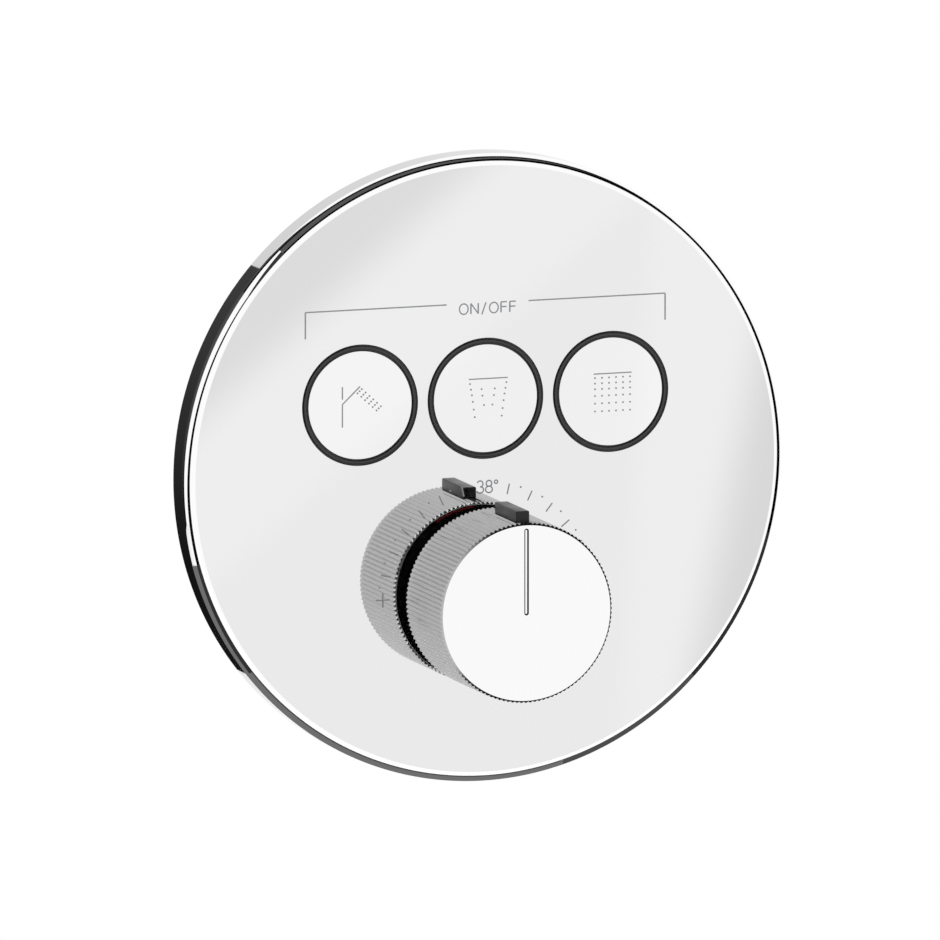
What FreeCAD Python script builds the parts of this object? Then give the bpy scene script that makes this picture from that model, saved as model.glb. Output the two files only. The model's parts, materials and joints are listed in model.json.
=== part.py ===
import FreeCAD, Part
import math
import os

# Concealed thermostatic shower valve with three push buttons, in millimetres.
# +X is to the right of the person facing it, +Y goes into the wall and +Z is up.
# The origin is the centre of the cover plate on the finished wall, so what stands
# in front of the wall has a negative Y. "Front" below is the -Y side.

# ---- driving dimensions: cover plate -------------------------------------------------
PLATE_RADIUS = 100.0
PLATE_STAND = 12.0
PLATE_GAUGE = 2.0
PLATE_EDGE_RADIUS = 2.8
PLATE_WALL_GAP = 0.3
PLATE_BREAK = 0.3
SEAL_WIDTH = 5.8
SEAL_LENGTH = 5.9
SEAL_NOTCH = 1.2
CARRIER_GAUGE = 3.0
CARRIER_LAND = 4.0
CARRIER_RIB = 2.0
WINDOW_BAND = 12.0
PILLAR_RADIUS = 4.5
SCREW_RADIUS = 1.5
SCREW_HEAD = 3.3
SCREW_REACH = 8.0
STUD_LENGTH = 10.0

# ---- driving dimensions: push buttons and their cartridges ---------------------------
BUTTON_PITCH = 41.8
BUTTON_ROW_Z = 22.5
CAP_RADIUS = 17.2
CAP_WALL = 1.5
CAP_TOP = 1.8
CAP_SKIRT = 7.0
CAP_EDGE = 0.35
CAP_BOSS_RADIUS = 5.0
CAP_SOCKET_FLOOR = 0.5
RING_WIDTH = 1.85
RING_BREAK = 0.35
RING_FLANGE = 1.3
RING_FLANGE_GAUGE = 1.1
RING_TAIL = 1.0
STEM_RADIUS = 3.0
STEM_COLLAR = 4.8
STEM_COLLAR_GAUGE = 1.5
CARTRIDGE_RADIUS = 12.9
CARTRIDGE_WALL = 3.0
CARTRIDGE_NECK = 3.1
FLANGE_RISE = 2.5
FLANGE_GAUGE = 3.0
GUIDE_LENGTH = 4.0
OUTLET_WINDOW = 8.0
GALLERY_WINDOW = 5.6
RING_SPACING = 10.0
RING_CORD = 0.9
CARTRIDGE_EDGE = 2.0
CARTRIDGE_FRONT = 2.0
CARTRIDGE_END = 52.0
CARTRIDGE_SEAT = 40.0
SEAT_THICKNESS = 2.0
SEAT_HOLE = 6.0
DISC_RADIUS = 8.0
DISC_THICKNESS = 3.0
DISC_EDGE = 0.6
SPRING_GAUGE = 1.6

# ---- driving dimensions: temperature knob --------------------------------------------
KNOB_Z = -40.0
KNOB_CREST = 28.7
KNURL_DEPTH = 0.5
KNURL_COUNT = 120
KNOB_LENGTH = 33.5
KNOB_GAP = 5.2
KNOB_WALL = 1.9
KNOB_FRONT_WALL = 2.5
GROOVE_WIDTH = 1.3
GROOVE_DEPTH = 0.6
GROOVE_REACH = 26.9
CROWN = 0.7
CROWN_LIP = 0.1
GRUB_HOLE = 2.6
SPINDLE_RADIUS = 5.0
SPLINE_TEETH = 20
SPLINE_DEPTH = 0.4
HUB_RADIUS = 11.0
LEVER_WIDTH = 4.4
LEVER_TAIL = 3.2
LEVER_DROP = 1.8
LEVER_FLANGE_GAUGE = 2.0
LEVER_SHOULDER = 1.2
PAWL_LENGTH = 1.7
GUIDE_WALL = 1.8
LEVER_SPRING_RADIUS = 2.4
LEVER_SPRING_GAUGE = 0.9
LEVER_EDGE = 0.4
LEVER_FOOT = 18.0
INSERT_LIP = 0.7
INSERT_WALL = 2.2
INSERT_FLOOR = 3.0
INSERT_CAVITY = 12.8
INSERT_RIB = 2.0
GRUB_RADIUS = 2.0
GRUB_LENGTH = 7.0
GRUB_SOCKET = 2.0
COLLAR_EDGE = 0.6
COLLAR_NECK = 13.9
STOP_TOOTH = 3.0
STOP_TOOTH_X = -5.0
LEVER_RISE = 3.7
LEVER_SETBACK = 3.4
LEVER_TRAVEL = 2.5

# ---- driving dimensions: thermostatic cartridge --------------------------------------
THERMO_RADIUS = 14.9
THERMO_BORE = 11.5
THERMO_END = 52.0
THERMO_NECK = 13.0
THERMO_FLANGE_RISE = 2.9
THERMO_NUT_FRONT = -4.0
THERMO_CAP_GAUGE = 3.0
CAP_WAY = 2.0
CAP_WAY_CIRCLE = 9.6
SHOULDER_RADIUS = 8.0
SHOULDER_GAUGE = 1.9
THERMO_FRONT_WALL_Y = 3.0
SPINDLE_END = 19.5
DRIVER_FRONT = 10.0
DRIVER_BACK = 24.0
DRIVER_FLOOR = 2.0
OVERLOAD_LENGTH = 6.0
OVERLOAD_RADIUS = 8.0
PISTON_RADIUS = 2.0
CAPSULE_FLANGE = 8.5
CAPSULE_FLANGE_GAUGE = 2.0
CAPSULE_RADIUS = 5.0
CAPSULE_BACK = 46.0
TAIL_RADIUS = 3.0
TAIL_END = 53.0
SPOOL_LEAD = 1.0
SPOOL_WALL = 1.65
SPOOL_HUB = 7.0
SPOOL_WEB = 2.0
SPOOL_WAY = 1.1
SPOOL_WAY_CIRCLE = 8.4
REGULATOR_SPRING_RADIUS = 6.9
NOSE_RADIUS = 9.0
NOSE_LENGTH = 25.0
COLD_BAND = 35.0
HOT_BAND = 45.0
PORT_WINDOW = 5.0

# ---- driving dimensions: casting and its mounting ------------------------------------
POT_WALL = 2.5
POT_EDGE = 1.0
SHOULDER_DEPTH = 6.0
POT_MOUTH = 6.0
POT_FLOOR = 54.0
THERMO_POT_MOUTH = 2.0
THERMO_POT_FLOOR = 60.5
CASTING_WALL = 4.0
ARM_RADIUS = 13.5
ARM_Y = 40.0
INLET_SPAN = 128.0
OUTLET_Y = 28.0
OUTLET_TOP = 54.0
THREAD_BORE = 9.32
THREAD_DEPTH = 14.0
PORT_FLATS = 28.0
HEX_LENGTH = 9.0
GALLERY_Y = 48.0
GALLERY_BORE = 5.5
GALLERY_WALL = 3.5
GALLERY_BOSS = 1.5
RISER_Y = 55.5
RISER_BORE = 4.6
INLET_WAY = 3.6
INLET_RELIEF = 4.0
OUTLET_WAY = 7.0
WEB_HALF = 4.0
LUG_RADIUS = 5.5
LUG_FRONT = 18.0
LUG_BACK = 66.0
LUG_BORE = 2.5
UPPER_LUG_Z = 44.0
LOWER_LUG_X = 50.0
LOWER_LUG_Z = -12.0
BRACKET_GAUGE = 2.0
BRACKET_HOLE = 2.75
BRACKET_PITCH_X = 42.0
BRACKET_PITCH_Z = 126.0
BRACKET_CENTRE_Z = -3.0
BRACKET_MARGIN = 6.0
BRACKET_ARM_HALF = 8.0
BRACKET_WINDOW = 9.0
BRACKET_SCREW_HEAD = 4.2
BRACKET_SCREW_LENGTH = 9.0
BRACKET_SCREW_SOCKET = 3.0
CHECK_RADIUS = 8.4
CHECK_LENGTH = 15.5
CHECK_SEAT_GAUGE = 2.0
CHECK_SEAT_HOLE = 4.5
CHECK_BARREL = 6.8
CHECK_STEM = 1.5
POPPET_RADIUS = 6.2
POPPET_GAUGE = 2.2
POPPET_EDGE = 1.0
STRAINER_LENGTH = 3.2
STRAINER_FLOOR = 1.0
PLUG_LENGTH = 5.0
PLUG_SOCKET = 6.0

# ---- clearances ----------------------------------------------------------------------
RUN_FIT = 0.05      # radial play of a shaft or piston in its own bore
SEAT_FIT = 0.1      # radial play of a part that is pushed into a seat and stays there
SLIDE_GAP = 0.3     # open gap round a part that moves past another
SEAL_NIP = 0.1      # distance from a closed sealing face to its seat

# ---- sizes that follow ---------------------------------------------------------------
FACE_Y = -PLATE_STAND
PLATE_BACK_Y = FACE_Y + PLATE_GAUGE
RIM_Y = -PLATE_WALL_GAP
RING_BORE = CAP_RADIUS + SLIDE_GAP
RING_RADIUS = RING_BORE + RING_WIDTH
BUTTON_HOLE = RING_RADIUS + SEAT_FIT
CARRIER_FRONT_Y = PLATE_BACK_Y + RING_FLANGE_GAUGE
CARRIER_BACK_Y = CARRIER_FRONT_Y + CARRIER_GAUGE
SEAL_RADIUS = PLATE_RADIUS - PLATE_GAUGE - SEAT_FIT
CARRIER_RADIUS = SEAL_RADIUS - SEAL_WIDTH - SEAT_FIT
SITES = {"left": -BUTTON_PITCH, "middle": 0.0, "right": BUTTON_PITCH}
CAP_INSIDE_Y = FACE_Y + CAP_TOP
STEM_FRONT_Y = CAP_INSIDE_Y + CAP_SOCKET_FLOOR
FLANGE_RADIUS = CARTRIDGE_RADIUS + FLANGE_RISE
POT_SHOULDER = POT_MOUTH + SHOULDER_DEPTH
POT_BORE = CARTRIDGE_RADIUS + SEAT_FIT
POT_COUNTERBORE = FLANGE_RADIUS + SEAT_FIT
POT_RADIUS = POT_COUNTERBORE + POT_WALL
GALLERY_END = BUTTON_PITCH + POT_RADIUS + GALLERY_BOSS
CARTRIDGE_BORE = CARTRIDGE_RADIUS - CARTRIDGE_WALL
CARTRIDGE_NOSE = CARTRIDGE_RADIUS - CARTRIDGE_NECK
KNOB_BACK_Y = FACE_Y - KNOB_GAP
KNOB_FRONT_Y = KNOB_BACK_Y - KNOB_LENGTH
KNOB_VALLEY = KNOB_CREST - KNURL_DEPTH
SLEEVE_BORE = KNOB_VALLEY - KNOB_WALL
SLEEVE_INSIDE_Y = KNOB_FRONT_Y + KNOB_FRONT_WALL
INSERT_RADIUS = SLEEVE_BORE - SEAT_FIT
INSERT_BORE = INSERT_RADIUS - INSERT_WALL
INSERT_FLOOR_Y = SLEEVE_INSIDE_Y + INSERT_FLOOR
INSERT_RIB_END_Y = KNOB_BACK_Y - INSERT_CAVITY
LEVER_FRONT_Y = KNOB_FRONT_Y + LEVER_SETBACK
LEVER_BACK_Y = INSERT_RIB_END_Y + LEVER_TAIL
LEVER_FLANGE_TOP = SLEEVE_BORE - LEVER_DROP
LEVER_FLANGE_HALF = LEVER_WIDTH / 2 + LEVER_SHOULDER
COLLAR_RADIUS = INSERT_BORE
COLLAR_LENGTH = KNOB_GAP - SLIDE_GAP
PLATE_NOSE_HOLE = COLLAR_NECK + SEAT_FIT
THERMO_POT_BORE = THERMO_RADIUS + SEAT_FIT
THERMO_FLANGE = THERMO_RADIUS + THERMO_FLANGE_RISE
THERMO_SHOULDER = THERMO_POT_MOUTH + SHOULDER_DEPTH
THERMO_FLANGE_FRONT = THERMO_SHOULDER - FLANGE_GAUGE
THERMO_COUNTERBORE = THERMO_FLANGE + 2 * SEAT_FIT
THERMO_POT_RADIUS = THERMO_COUNTERBORE + CASTING_WALL
SPOOL_FRONT = COLD_BAND - SPOOL_LEAD
SPOOL_BACK = HOT_BAND - SPOOL_LEAD
INLET_END = INLET_SPAN / 2
CHECK_BORE = CHECK_RADIUS + SEAT_FIT
CHECK_OUTER = INLET_END - THREAD_DEPTH
CHECK_FRONT = CHECK_OUTER - STRAINER_LENGTH
CHECK_INNER = CHECK_FRONT - CHECK_LENGTH
POPPET_FACE = CHECK_FRONT - CHECK_SEAT_GAUGE - SEAL_NIP
UPPER_LUG_X = BUTTON_PITCH / 2
LUGS = [(-UPPER_LUG_X, UPPER_LUG_Z), (UPPER_LUG_X, UPPER_LUG_Z),
        (-LOWER_LUG_X, LOWER_LUG_Z), (LOWER_LUG_X, LOWER_LUG_Z)]

ALONG_Y = FreeCAD.Vector(0, 1, 0)


def vec(x, y, z):
    return FreeCAD.Vector(x, y, z)


def rod(radius, y0, y1, x=0.0, z=0.0):
    """A round bar along Y."""
    return Part.makeCylinder(radius, y1 - y0, vec(x, y0, z), ALONG_Y)


def rod_x(radius, x0, x1, y, z):
    """A round bar along X; x1 may be less than x0."""
    low, high = min(x0, x1), max(x0, x1)
    return Part.makeCylinder(radius, high - low, vec(low, y, z), vec(1, 0, 0))


def rod_z(radius, z0, z1, x, y):
    """A round bar along Z."""
    return Part.makeCylinder(radius, z1 - z0, vec(x, y, z0), vec(0, 0, 1))


def pipe(outer, inner, y0, y1, x=0.0, z=0.0):
    """A round tube along Y."""
    return rod(outer, y0, y1, x, z).cut(rod(inner, y0, y1, x, z))


def block(x0, x1, y0, y1, z0, z1):
    """A box between two corners."""
    return Part.makeBox(x1 - x0, y1 - y0, z1 - z0, vec(x0, y0, z0))


def prism(points, y0, y1):
    """A closed XZ outline carried along Y."""
    corners = [vec(x, y0, z) for x, z in points]
    face = Part.Face(Part.makePolygon(corners + corners[:1]))
    return face.extrude(vec(0, y1 - y0, 0))


def turned(profile, x=0.0, z=0.0):
    """A closed outline of (radius, y) points turned about an axis along Y."""
    corners = [vec(x + radius, y, z) for radius, y in profile]
    face = Part.Face(Part.makePolygon(corners + corners[:1]))
    return face.revolve(vec(x, 0, z), ALONG_Y, 360)


def turned_x(profile, y, z, side=1):
    """A closed outline of (radius, x) points turned about an axis along X."""
    corners = [vec(side * x, y + radius, z) for radius, x in profile]
    face = Part.Face(Part.makePolygon(corners + corners[:1]))
    return face.revolve(vec(0, y, z), vec(1, 0, 0), 360)


def hexagon(flats, y0, y1, x=0.0, z=0.0):
    """A hexagonal bar along Y, flats apart."""
    corner = flats / 2 / math.cos(math.pi / 6)
    turns = [math.radians(60 * i + 30) for i in range(6)]
    return prism([(x + corner * math.cos(t), z + corner * math.sin(t)) for t in turns], y0, y1)


def aim(shape, axis, point):
    """Turn a shape built along Y about the origin to lie along axis, then move it."""
    turn = FreeCAD.Rotation(ALONG_Y, axis)
    shape.Placement = FreeCAD.Placement(point, turn)
    return shape


def fuse(shapes):
    joined = shapes[0].multiFuse(shapes[1:])
    return joined.removeSplitter()


def cut(shape, tools):
    return shape.cut(tools).removeSplitter()


def circular_edges(shape, radius, y):
    """The full circles of one radius in one plane across Y."""
    found = []
    for edge in shape.Edges:
        curve = edge.Curve
        if not isinstance(curve, Part.Circle):
            continue
        if abs(curve.Radius - radius) < 1e-4 and abs(curve.Center.y - y) < 1e-4:
            found.append(edge)
    return found


def save(name, shape):
    """Write one node, after a test that it is made of sound solids."""
    if not shape.isValid() or not shape.Solids:
        raise RuntimeError("unsound shape: " + name)
    shape.exportStep("parts/" + name + ".step")
    print(name, len(shape.Solids), "solid(s)", round(shape.Volume), "mm3")


# ---- cover plate and what carries it -------------------------------------------------

def faceplate():
    """A shallow dished disc with a rounded front edge and four holes."""
    inner = PLATE_RADIUS - PLATE_GAUGE
    shell = turned([(0, FACE_Y), (PLATE_RADIUS, FACE_Y), (PLATE_RADIUS, RIM_Y),
                    (inner, RIM_Y), (inner, PLATE_BACK_Y), (0, PLATE_BACK_Y)])
    shell = shell.makeFillet(PLATE_EDGE_RADIUS, circular_edges(shell, PLATE_RADIUS, FACE_Y))
    holes = [rod(BUTTON_HOLE, FACE_Y, PLATE_BACK_Y, x, BUTTON_ROW_Z) for x in SITES.values()]
    holes.append(rod(PLATE_NOSE_HOLE, FACE_Y, PLATE_BACK_Y, 0, KNOB_Z))
    shell = cut(shell, holes)
    return shell.makeChamfer(PLATE_BREAK, circular_edges(shell, BUTTON_HOLE, FACE_Y))


def wall_seal():
    """A soft ring inside the plate's rim, with two lips against the wall."""
    inner = SEAL_RADIUS - SEAL_WIDTH
    front = -SEAL_LENGTH
    lip = SEAL_WIDTH / 3
    return turned([(inner, front), (SEAL_RADIUS, front), (SEAL_RADIUS, 0),
                   (SEAL_RADIUS - lip, 0), (SEAL_RADIUS - 1.5 * lip, -SEAL_NOTCH),
                   (inner + lip, 0), (inner, 0)])


def trim_carrier():
    """The moulded disc behind the plate that holds it to the casting."""
    disc = rod(CARRIER_RADIUS, CARRIER_FRONT_Y, CARRIER_BACK_Y)
    land = pipe(CARRIER_RADIUS - CARRIER_LAND, CARRIER_RADIUS - 2 * CARRIER_LAND,
                PLATE_BACK_Y, CARRIER_FRONT_Y)
    back_rib = pipe(CARRIER_RADIUS, CARRIER_RADIUS - CARRIER_RIB,
                    CARRIER_BACK_Y, CARRIER_BACK_Y + CARRIER_GAUGE)
    tools = []
    for x in SITES.values():
        tools.append(rod(RING_RADIUS + SEAT_FIT, PLATE_BACK_Y, CARRIER_BACK_Y, x, BUTTON_ROW_Z))
    tools.append(rod(COLLAR_RADIUS, PLATE_BACK_Y, CARRIER_BACK_Y, 0, KNOB_Z))
    tools += [screw_way(x, z) for x, z in LUGS]
    tools += lightening_windows()
    return cut(fuse([disc, land, back_rib]), tools)


def screw_way(x, z):
    """A hole for a countersunk screw in the carrier, with room all round the screw."""
    head = SCREW_HEAD + SEAT_FIT
    shank = SCREW_RADIUS + 2 * SEAT_FIT
    front, back = CARRIER_FRONT_Y - SEAT_FIT, CARRIER_BACK_Y + SEAT_FIT
    return turned([(0, front), (head, front), (head, CARRIER_FRONT_Y),
                   (shank, CARRIER_FRONT_Y + head - shank), (shank, back), (0, back)], x, z)


def lightening_windows():
    """Six curved windows near the carrier's rim, clear of the fixings."""
    outer = CARRIER_RADIUS - 2 * CARRIER_LAND - CARRIER_RIB
    inner = outer - WINDOW_BAND
    tools = []
    for turn, sweep in ((-160, 34), (-110, 34), (-20, 34), (75, 20), (105, 20), (200, 34)):
        ring = pipe(outer, inner, CARRIER_FRONT_Y, CARRIER_BACK_Y)
        tools.append(ring.common(wedge(2 * outer, turn - sweep / 2, turn + sweep / 2)))
    return tools


def wedge(radius, start, end):
    """A pie slice about the plate's centre, long enough for the carrier."""
    turns = [math.radians(turn) for turn in (start, end)]
    points = [(0, 0)] + [(radius * math.cos(t), radius * math.sin(t)) for t in turns]
    return prism(points, CARRIER_FRONT_Y, CARRIER_BACK_Y)


def trim_pillars():
    """Four spacers that screw into the casting and carry the trim carrier."""
    pillars = []
    for x, z in LUGS:
        body = rod(PILLAR_RADIUS, CARRIER_BACK_Y, LUG_FRONT, x, z)
        stud = rod(LUG_BORE - SEAT_FIT, LUG_FRONT, LUG_FRONT + STUD_LENGTH, x, z)
        hole = rod(SCREW_RADIUS + SEAT_FIT, CARRIER_BACK_Y,
                   CARRIER_BACK_Y + SCREW_REACH + CARRIER_GAUGE, x, z)
        pillars.append(cut(fuse([body, stud]), [hole]))
    return Part.makeCompound(pillars)


def carrier_screws():
    """Countersunk screws through the carrier into the pillars."""
    tip = CARRIER_BACK_Y + SCREW_REACH
    cone = CARRIER_FRONT_Y + SCREW_HEAD - SCREW_RADIUS
    outline = [(0, CARRIER_FRONT_Y), (SCREW_HEAD, CARRIER_FRONT_Y), (SCREW_RADIUS, cone),
               (SCREW_RADIUS, tip), (0, tip)]
    return Part.makeCompound([turned(outline, x, z) for x, z in LUGS])


# ---- push buttons --------------------------------------------------------------------

def button_cap(x):
    """A flat round cap with a skirt and a socket for the stem."""
    skirt_y = FACE_Y + CAP_SKIRT
    inner = CAP_RADIUS - CAP_WALL
    socket = STEM_RADIUS + RUN_FIT
    boss_y = skirt_y - CAP_SOCKET_FLOOR
    return turned([(0, FACE_Y), (CAP_RADIUS - CAP_EDGE, FACE_Y),
                   (CAP_RADIUS, FACE_Y + CAP_EDGE), (CAP_RADIUS, skirt_y),
                   (inner, skirt_y), (inner, CAP_INSIDE_Y),
                   (CAP_BOSS_RADIUS, CAP_INSIDE_Y), (CAP_BOSS_RADIUS, boss_y),
                   (socket, boss_y), (socket, STEM_FRONT_Y),
                   (0, STEM_FRONT_Y)], x, BUTTON_ROW_Z)


def button_ring(x):
    """The dark ring round a cap, flanged behind the plate and cut back at both edges."""
    flange = RING_RADIUS + RING_FLANGE
    back = CARRIER_BACK_Y + RING_TAIL
    return turned([(RING_BORE, FACE_Y + RING_BREAK), (RING_BORE + RING_BREAK, FACE_Y),
                   (RING_RADIUS - RING_BREAK, FACE_Y), (RING_RADIUS, FACE_Y + RING_BREAK),
                   (RING_RADIUS, PLATE_BACK_Y), (flange, PLATE_BACK_Y),
                   (flange, CARRIER_FRONT_Y), (RING_RADIUS, CARRIER_FRONT_Y),
                   (RING_RADIUS, back), (RING_BORE, back)], x, BUTTON_ROW_Z)


def button_stem(x):
    """The rod from a cap to its valve disc, with a collar each side of the disc."""
    disc_front = CARTRIDGE_SEAT + SEAT_THICKNESS + SEAL_NIP
    disc_back = disc_front + DISC_THICKNESS
    collar_front = disc_front - STEM_COLLAR_GAUGE
    collar_back = disc_back + STEM_COLLAR_GAUGE
    return turned([(0, STEM_FRONT_Y), (STEM_RADIUS, STEM_FRONT_Y),
                   (STEM_RADIUS, collar_front), (STEM_COLLAR, collar_front),
                   (STEM_COLLAR, disc_front), (STEM_RADIUS, disc_front),
                   (STEM_RADIUS, disc_back), (STEM_COLLAR, disc_back),
                   (STEM_COLLAR, collar_back), (0, collar_back)], x, BUTTON_ROW_Z)


def valve_disc(x):
    """The soft disc that closes the seat from behind."""
    front = CARTRIDGE_SEAT + SEAT_THICKNESS + SEAL_NIP
    back = front + DISC_THICKNESS
    bore = STEM_RADIUS + RUN_FIT
    return turned([(bore, front), (DISC_RADIUS - DISC_EDGE, front),
                   (DISC_RADIUS, front + DISC_EDGE), (DISC_RADIUS, back),
                   (bore, back)], x, BUTTON_ROW_Z)


def return_spring(x):
    """The space of a button's coil spring, from the cap to the cartridge."""
    inner = CAP_BOSS_RADIUS + 2 * SLIDE_GAP
    return pipe(inner + SPRING_GAUGE, inner, CAP_INSIDE_Y, CARTRIDGE_FRONT, x, BUTTON_ROW_Z)


def outlet_cartridge(x):
    """The shut-off cartridge: guide at the front, seat near the back, ported walls."""
    guide = STEM_RADIUS + RUN_FIT
    front_wall = CARTRIDGE_FRONT + GUIDE_LENGTH
    flange_front = POT_SHOULDER - FLANGE_GAUGE
    seat_back = CARTRIDGE_SEAT + SEAT_THICKNESS
    shell = turned([(guide, CARTRIDGE_FRONT), (CARTRIDGE_NOSE, CARTRIDGE_FRONT),
                    (CARTRIDGE_NOSE, flange_front),
                    (FLANGE_RADIUS, flange_front), (FLANGE_RADIUS, POT_SHOULDER),
                    (CARTRIDGE_RADIUS, POT_SHOULDER), (CARTRIDGE_RADIUS, CARTRIDGE_END),
                    (CARTRIDGE_BORE, CARTRIDGE_END), (CARTRIDGE_BORE, seat_back),
                    (SEAT_HOLE, seat_back), (SEAT_HOLE, CARTRIDGE_SEAT),
                    (CARTRIDGE_BORE, CARTRIDGE_SEAT), (CARTRIDGE_BORE, POT_SHOULDER),
                    (CARTRIDGE_NOSE - FLANGE_RISE, front_wall),
                    (guide, front_wall)], x, BUTTON_ROW_Z)
    tools = [ring_groove(CARTRIDGE_RADIUS, y, x, BUTTON_ROW_Z) for y in cartridge_ring_places()]
    tools += windows(x, BUTTON_ROW_Z, OUTLET_Y, OUTLET_WINDOW, OUTLET_WINDOW, [90])
    tools += windows(x, BUTTON_ROW_Z, GALLERY_Y, OUTLET_WINDOW, GALLERY_WINDOW, [0])
    return cut(shell, tools)


def cartridge_ring_places():
    """Y places of a shut-off cartridge's two O-rings, each side of its outlet."""
    return (OUTLET_Y - RING_SPACING, OUTLET_Y + RING_SPACING)


def ring_groove(radius, y, x, z):
    """The groove of an O-ring on a shaft of this radius."""
    half = RING_CORD + SEAT_FIT
    return pipe(radius + SLIDE_GAP, radius - 2 * RING_CORD, y - half, y + half, x, z)


def ring_in_groove(radius, y, x, z):
    """An O-ring that fills its groove to just short of the bore, with a four-sided cord."""
    centre = radius - RING_CORD + SEAT_FIT / 2
    turns = [math.radians(45 + 90 * i) for i in range(4)]
    reach = RING_CORD / math.cos(math.pi / 4)
    return turned([(centre + reach * math.cos(t), y + reach * math.sin(t)) for t in turns], x, z)


def windows(x, z, y, width, length, turns):
    """Bars that cut pairs of opposite windows in a tube's wall, one at each turn from X."""
    tools = []
    for turn in turns:
        bar = block(-THERMO_FLANGE, THERMO_FLANGE, y - length / 2, y + length / 2,
                    -width / 2, width / 2)
        bar.rotate(vec(0, 0, 0), ALONG_Y, turn)
        bar.translate(vec(x, 0, z))
        tools.append(bar)
    return tools


def outlet_cartridge_nut(x):
    """The hexagonal nut that clamps a shut-off cartridge in its pot."""
    thread = rod(POT_COUNTERBORE - SEAT_FIT, POT_MOUTH, POT_SHOULDER - FLANGE_GAUGE, x, BUTTON_ROW_Z)
    flats = 2 * (FLANGE_RADIUS - CARTRIDGE_EDGE)
    head = hexagon(flats, CARTRIDGE_FRONT, POT_MOUTH, x, BUTTON_ROW_Z)
    bore = rod(CARTRIDGE_NOSE + SEAT_FIT, CARTRIDGE_FRONT, POT_SHOULDER, x, BUTTON_ROW_Z)
    return cut(fuse([thread, head]), [bore])


def outlet_cartridge_rings():
    """The O-rings of the three shut-off cartridges."""
    rings = []
    for x in SITES.values():
        for y in cartridge_ring_places():
            rings.append(ring_in_groove(CARTRIDGE_RADIUS, y, x, BUTTON_ROW_Z))
    return Part.makeCompound(rings)


# ---- temperature knob ----------------------------------------------------------------

def star(crest, valley, count, y0, y1, z):
    """A bar of V ribs: one crest and one valley for each rib."""
    points = []
    for i in range(count):
        for offset, radius in ((0.0, crest), (0.5, valley)):
            turn = 2 * math.pi * (i + offset) / count
            points.append((radius * math.sin(turn), z + radius * math.cos(turn)))
    return prism(points, y0, y1)


def knob_sleeve():
    """The ribbed cup of the knob, with its pointer groove, lever slot and screw hole."""
    back = KNOB_BACK_Y - INSERT_LIP
    over = KNOB_CREST + CROWN_LIP
    ribs = star(KNOB_CREST, KNOB_VALLEY, KNURL_COUNT, KNOB_FRONT_Y, back, KNOB_Z)
    crown = turned([(0, KNOB_FRONT_Y), (over - CROWN, KNOB_FRONT_Y), (over, KNOB_FRONT_Y + CROWN),
                    (over, back), (0, back)], 0, KNOB_Z)
    cup = ribs.common(crown)
    tools = [rod(SLEEVE_BORE, SLEEVE_INSIDE_Y, back, 0, KNOB_Z), pointer_groove()]
    slot = LEVER_WIDTH / 2 + SLIDE_GAP
    tools.append(block(-slot, slot, LEVER_FRONT_Y - SLIDE_GAP, LEVER_BACK_Y + SLIDE_GAP,
                       KNOB_Z + LEVER_FLANGE_TOP, KNOB_Z + over))
    tools.append(rod_z(GRUB_HOLE, KNOB_Z - over, KNOB_Z - INSERT_RADIUS, 0, grub_y()))
    return cup.cut(tools)


def pointer_groove():
    """The slot with round ends in the knob's face, from its centre to the top."""
    half = GROOVE_WIDTH / 2
    top = KNOB_Z + GROOVE_REACH - half
    floor = KNOB_FRONT_Y + GROOVE_DEPTH
    return fuse([block(-half, half, KNOB_FRONT_Y, floor, KNOB_Z, top),
                 rod(half, KNOB_FRONT_Y, floor, 0, KNOB_Z),
                 rod(half, KNOB_FRONT_Y, floor, 0, top)])


def grub_y():
    """Y place of the screw that holds the knob on its spindle."""
    return (INSERT_FLOOR_Y + INSERT_RIB_END_Y) / 2


def knob_insert():
    """The dark moulding inside the sleeve: rim, hub, ribs and the lever's guide."""
    lip = KNOB_BACK_Y - INSERT_LIP
    rim = KNOB_VALLEY - SLIDE_GAP
    wall = turned([(0, SLEEVE_INSIDE_Y), (INSERT_RADIUS, SLEEVE_INSIDE_Y), (INSERT_RADIUS, lip),
                   (rim, lip), (rim, KNOB_BACK_Y), (INSERT_BORE, KNOB_BACK_Y),
                   (INSERT_BORE, INSERT_FLOOR_Y), (0, INSERT_FLOOR_Y)], 0, KNOB_Z)
    hub = rod(HUB_RADIUS, INSERT_FLOOR_Y, INSERT_RIB_END_Y, 0, KNOB_Z)
    room = LEVER_FLANGE_HALF + SLIDE_GAP
    guide = block(-room - GUIDE_WALL, room + GUIDE_WALL, INSERT_FLOOR_Y, INSERT_RIB_END_Y,
                  KNOB_Z + HUB_RADIUS - INSERT_RIB, KNOB_Z + INSERT_BORE)
    tools = [rod(SPINDLE_RADIUS + RUN_FIT, INSERT_FLOOR_Y, INSERT_RIB_END_Y, 0, KNOB_Z)]
    tools.append(block(-room, room, LEVER_FRONT_Y - SLIDE_GAP, LEVER_BACK_Y + SLIDE_GAP,
                       KNOB_Z + HUB_RADIUS, KNOB_Z + KNOB_CREST))
    tools.append(rod_z(GRUB_RADIUS + RUN_FIT, KNOB_Z - KNOB_CREST, KNOB_Z, 0, grub_y()))
    return cut(fuse([wall, hub, guide] + insert_ribs()), tools)


def insert_ribs():
    """Stiffening ribs from the hub to the rim, none where the lever's guide is."""
    ribs = []
    half = INSERT_RIB / 2
    for turn in (45, 135, 225, 315):
        rib = block(HUB_RADIUS - half, INSERT_BORE + half, INSERT_FLOOR_Y, INSERT_RIB_END_Y,
                    -half, half)
        rib.rotate(vec(0, 0, 0), ALONG_Y, turn)
        rib.translate(vec(0, 0, KNOB_Z))
        ribs.append(rib)
    return ribs


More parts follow.
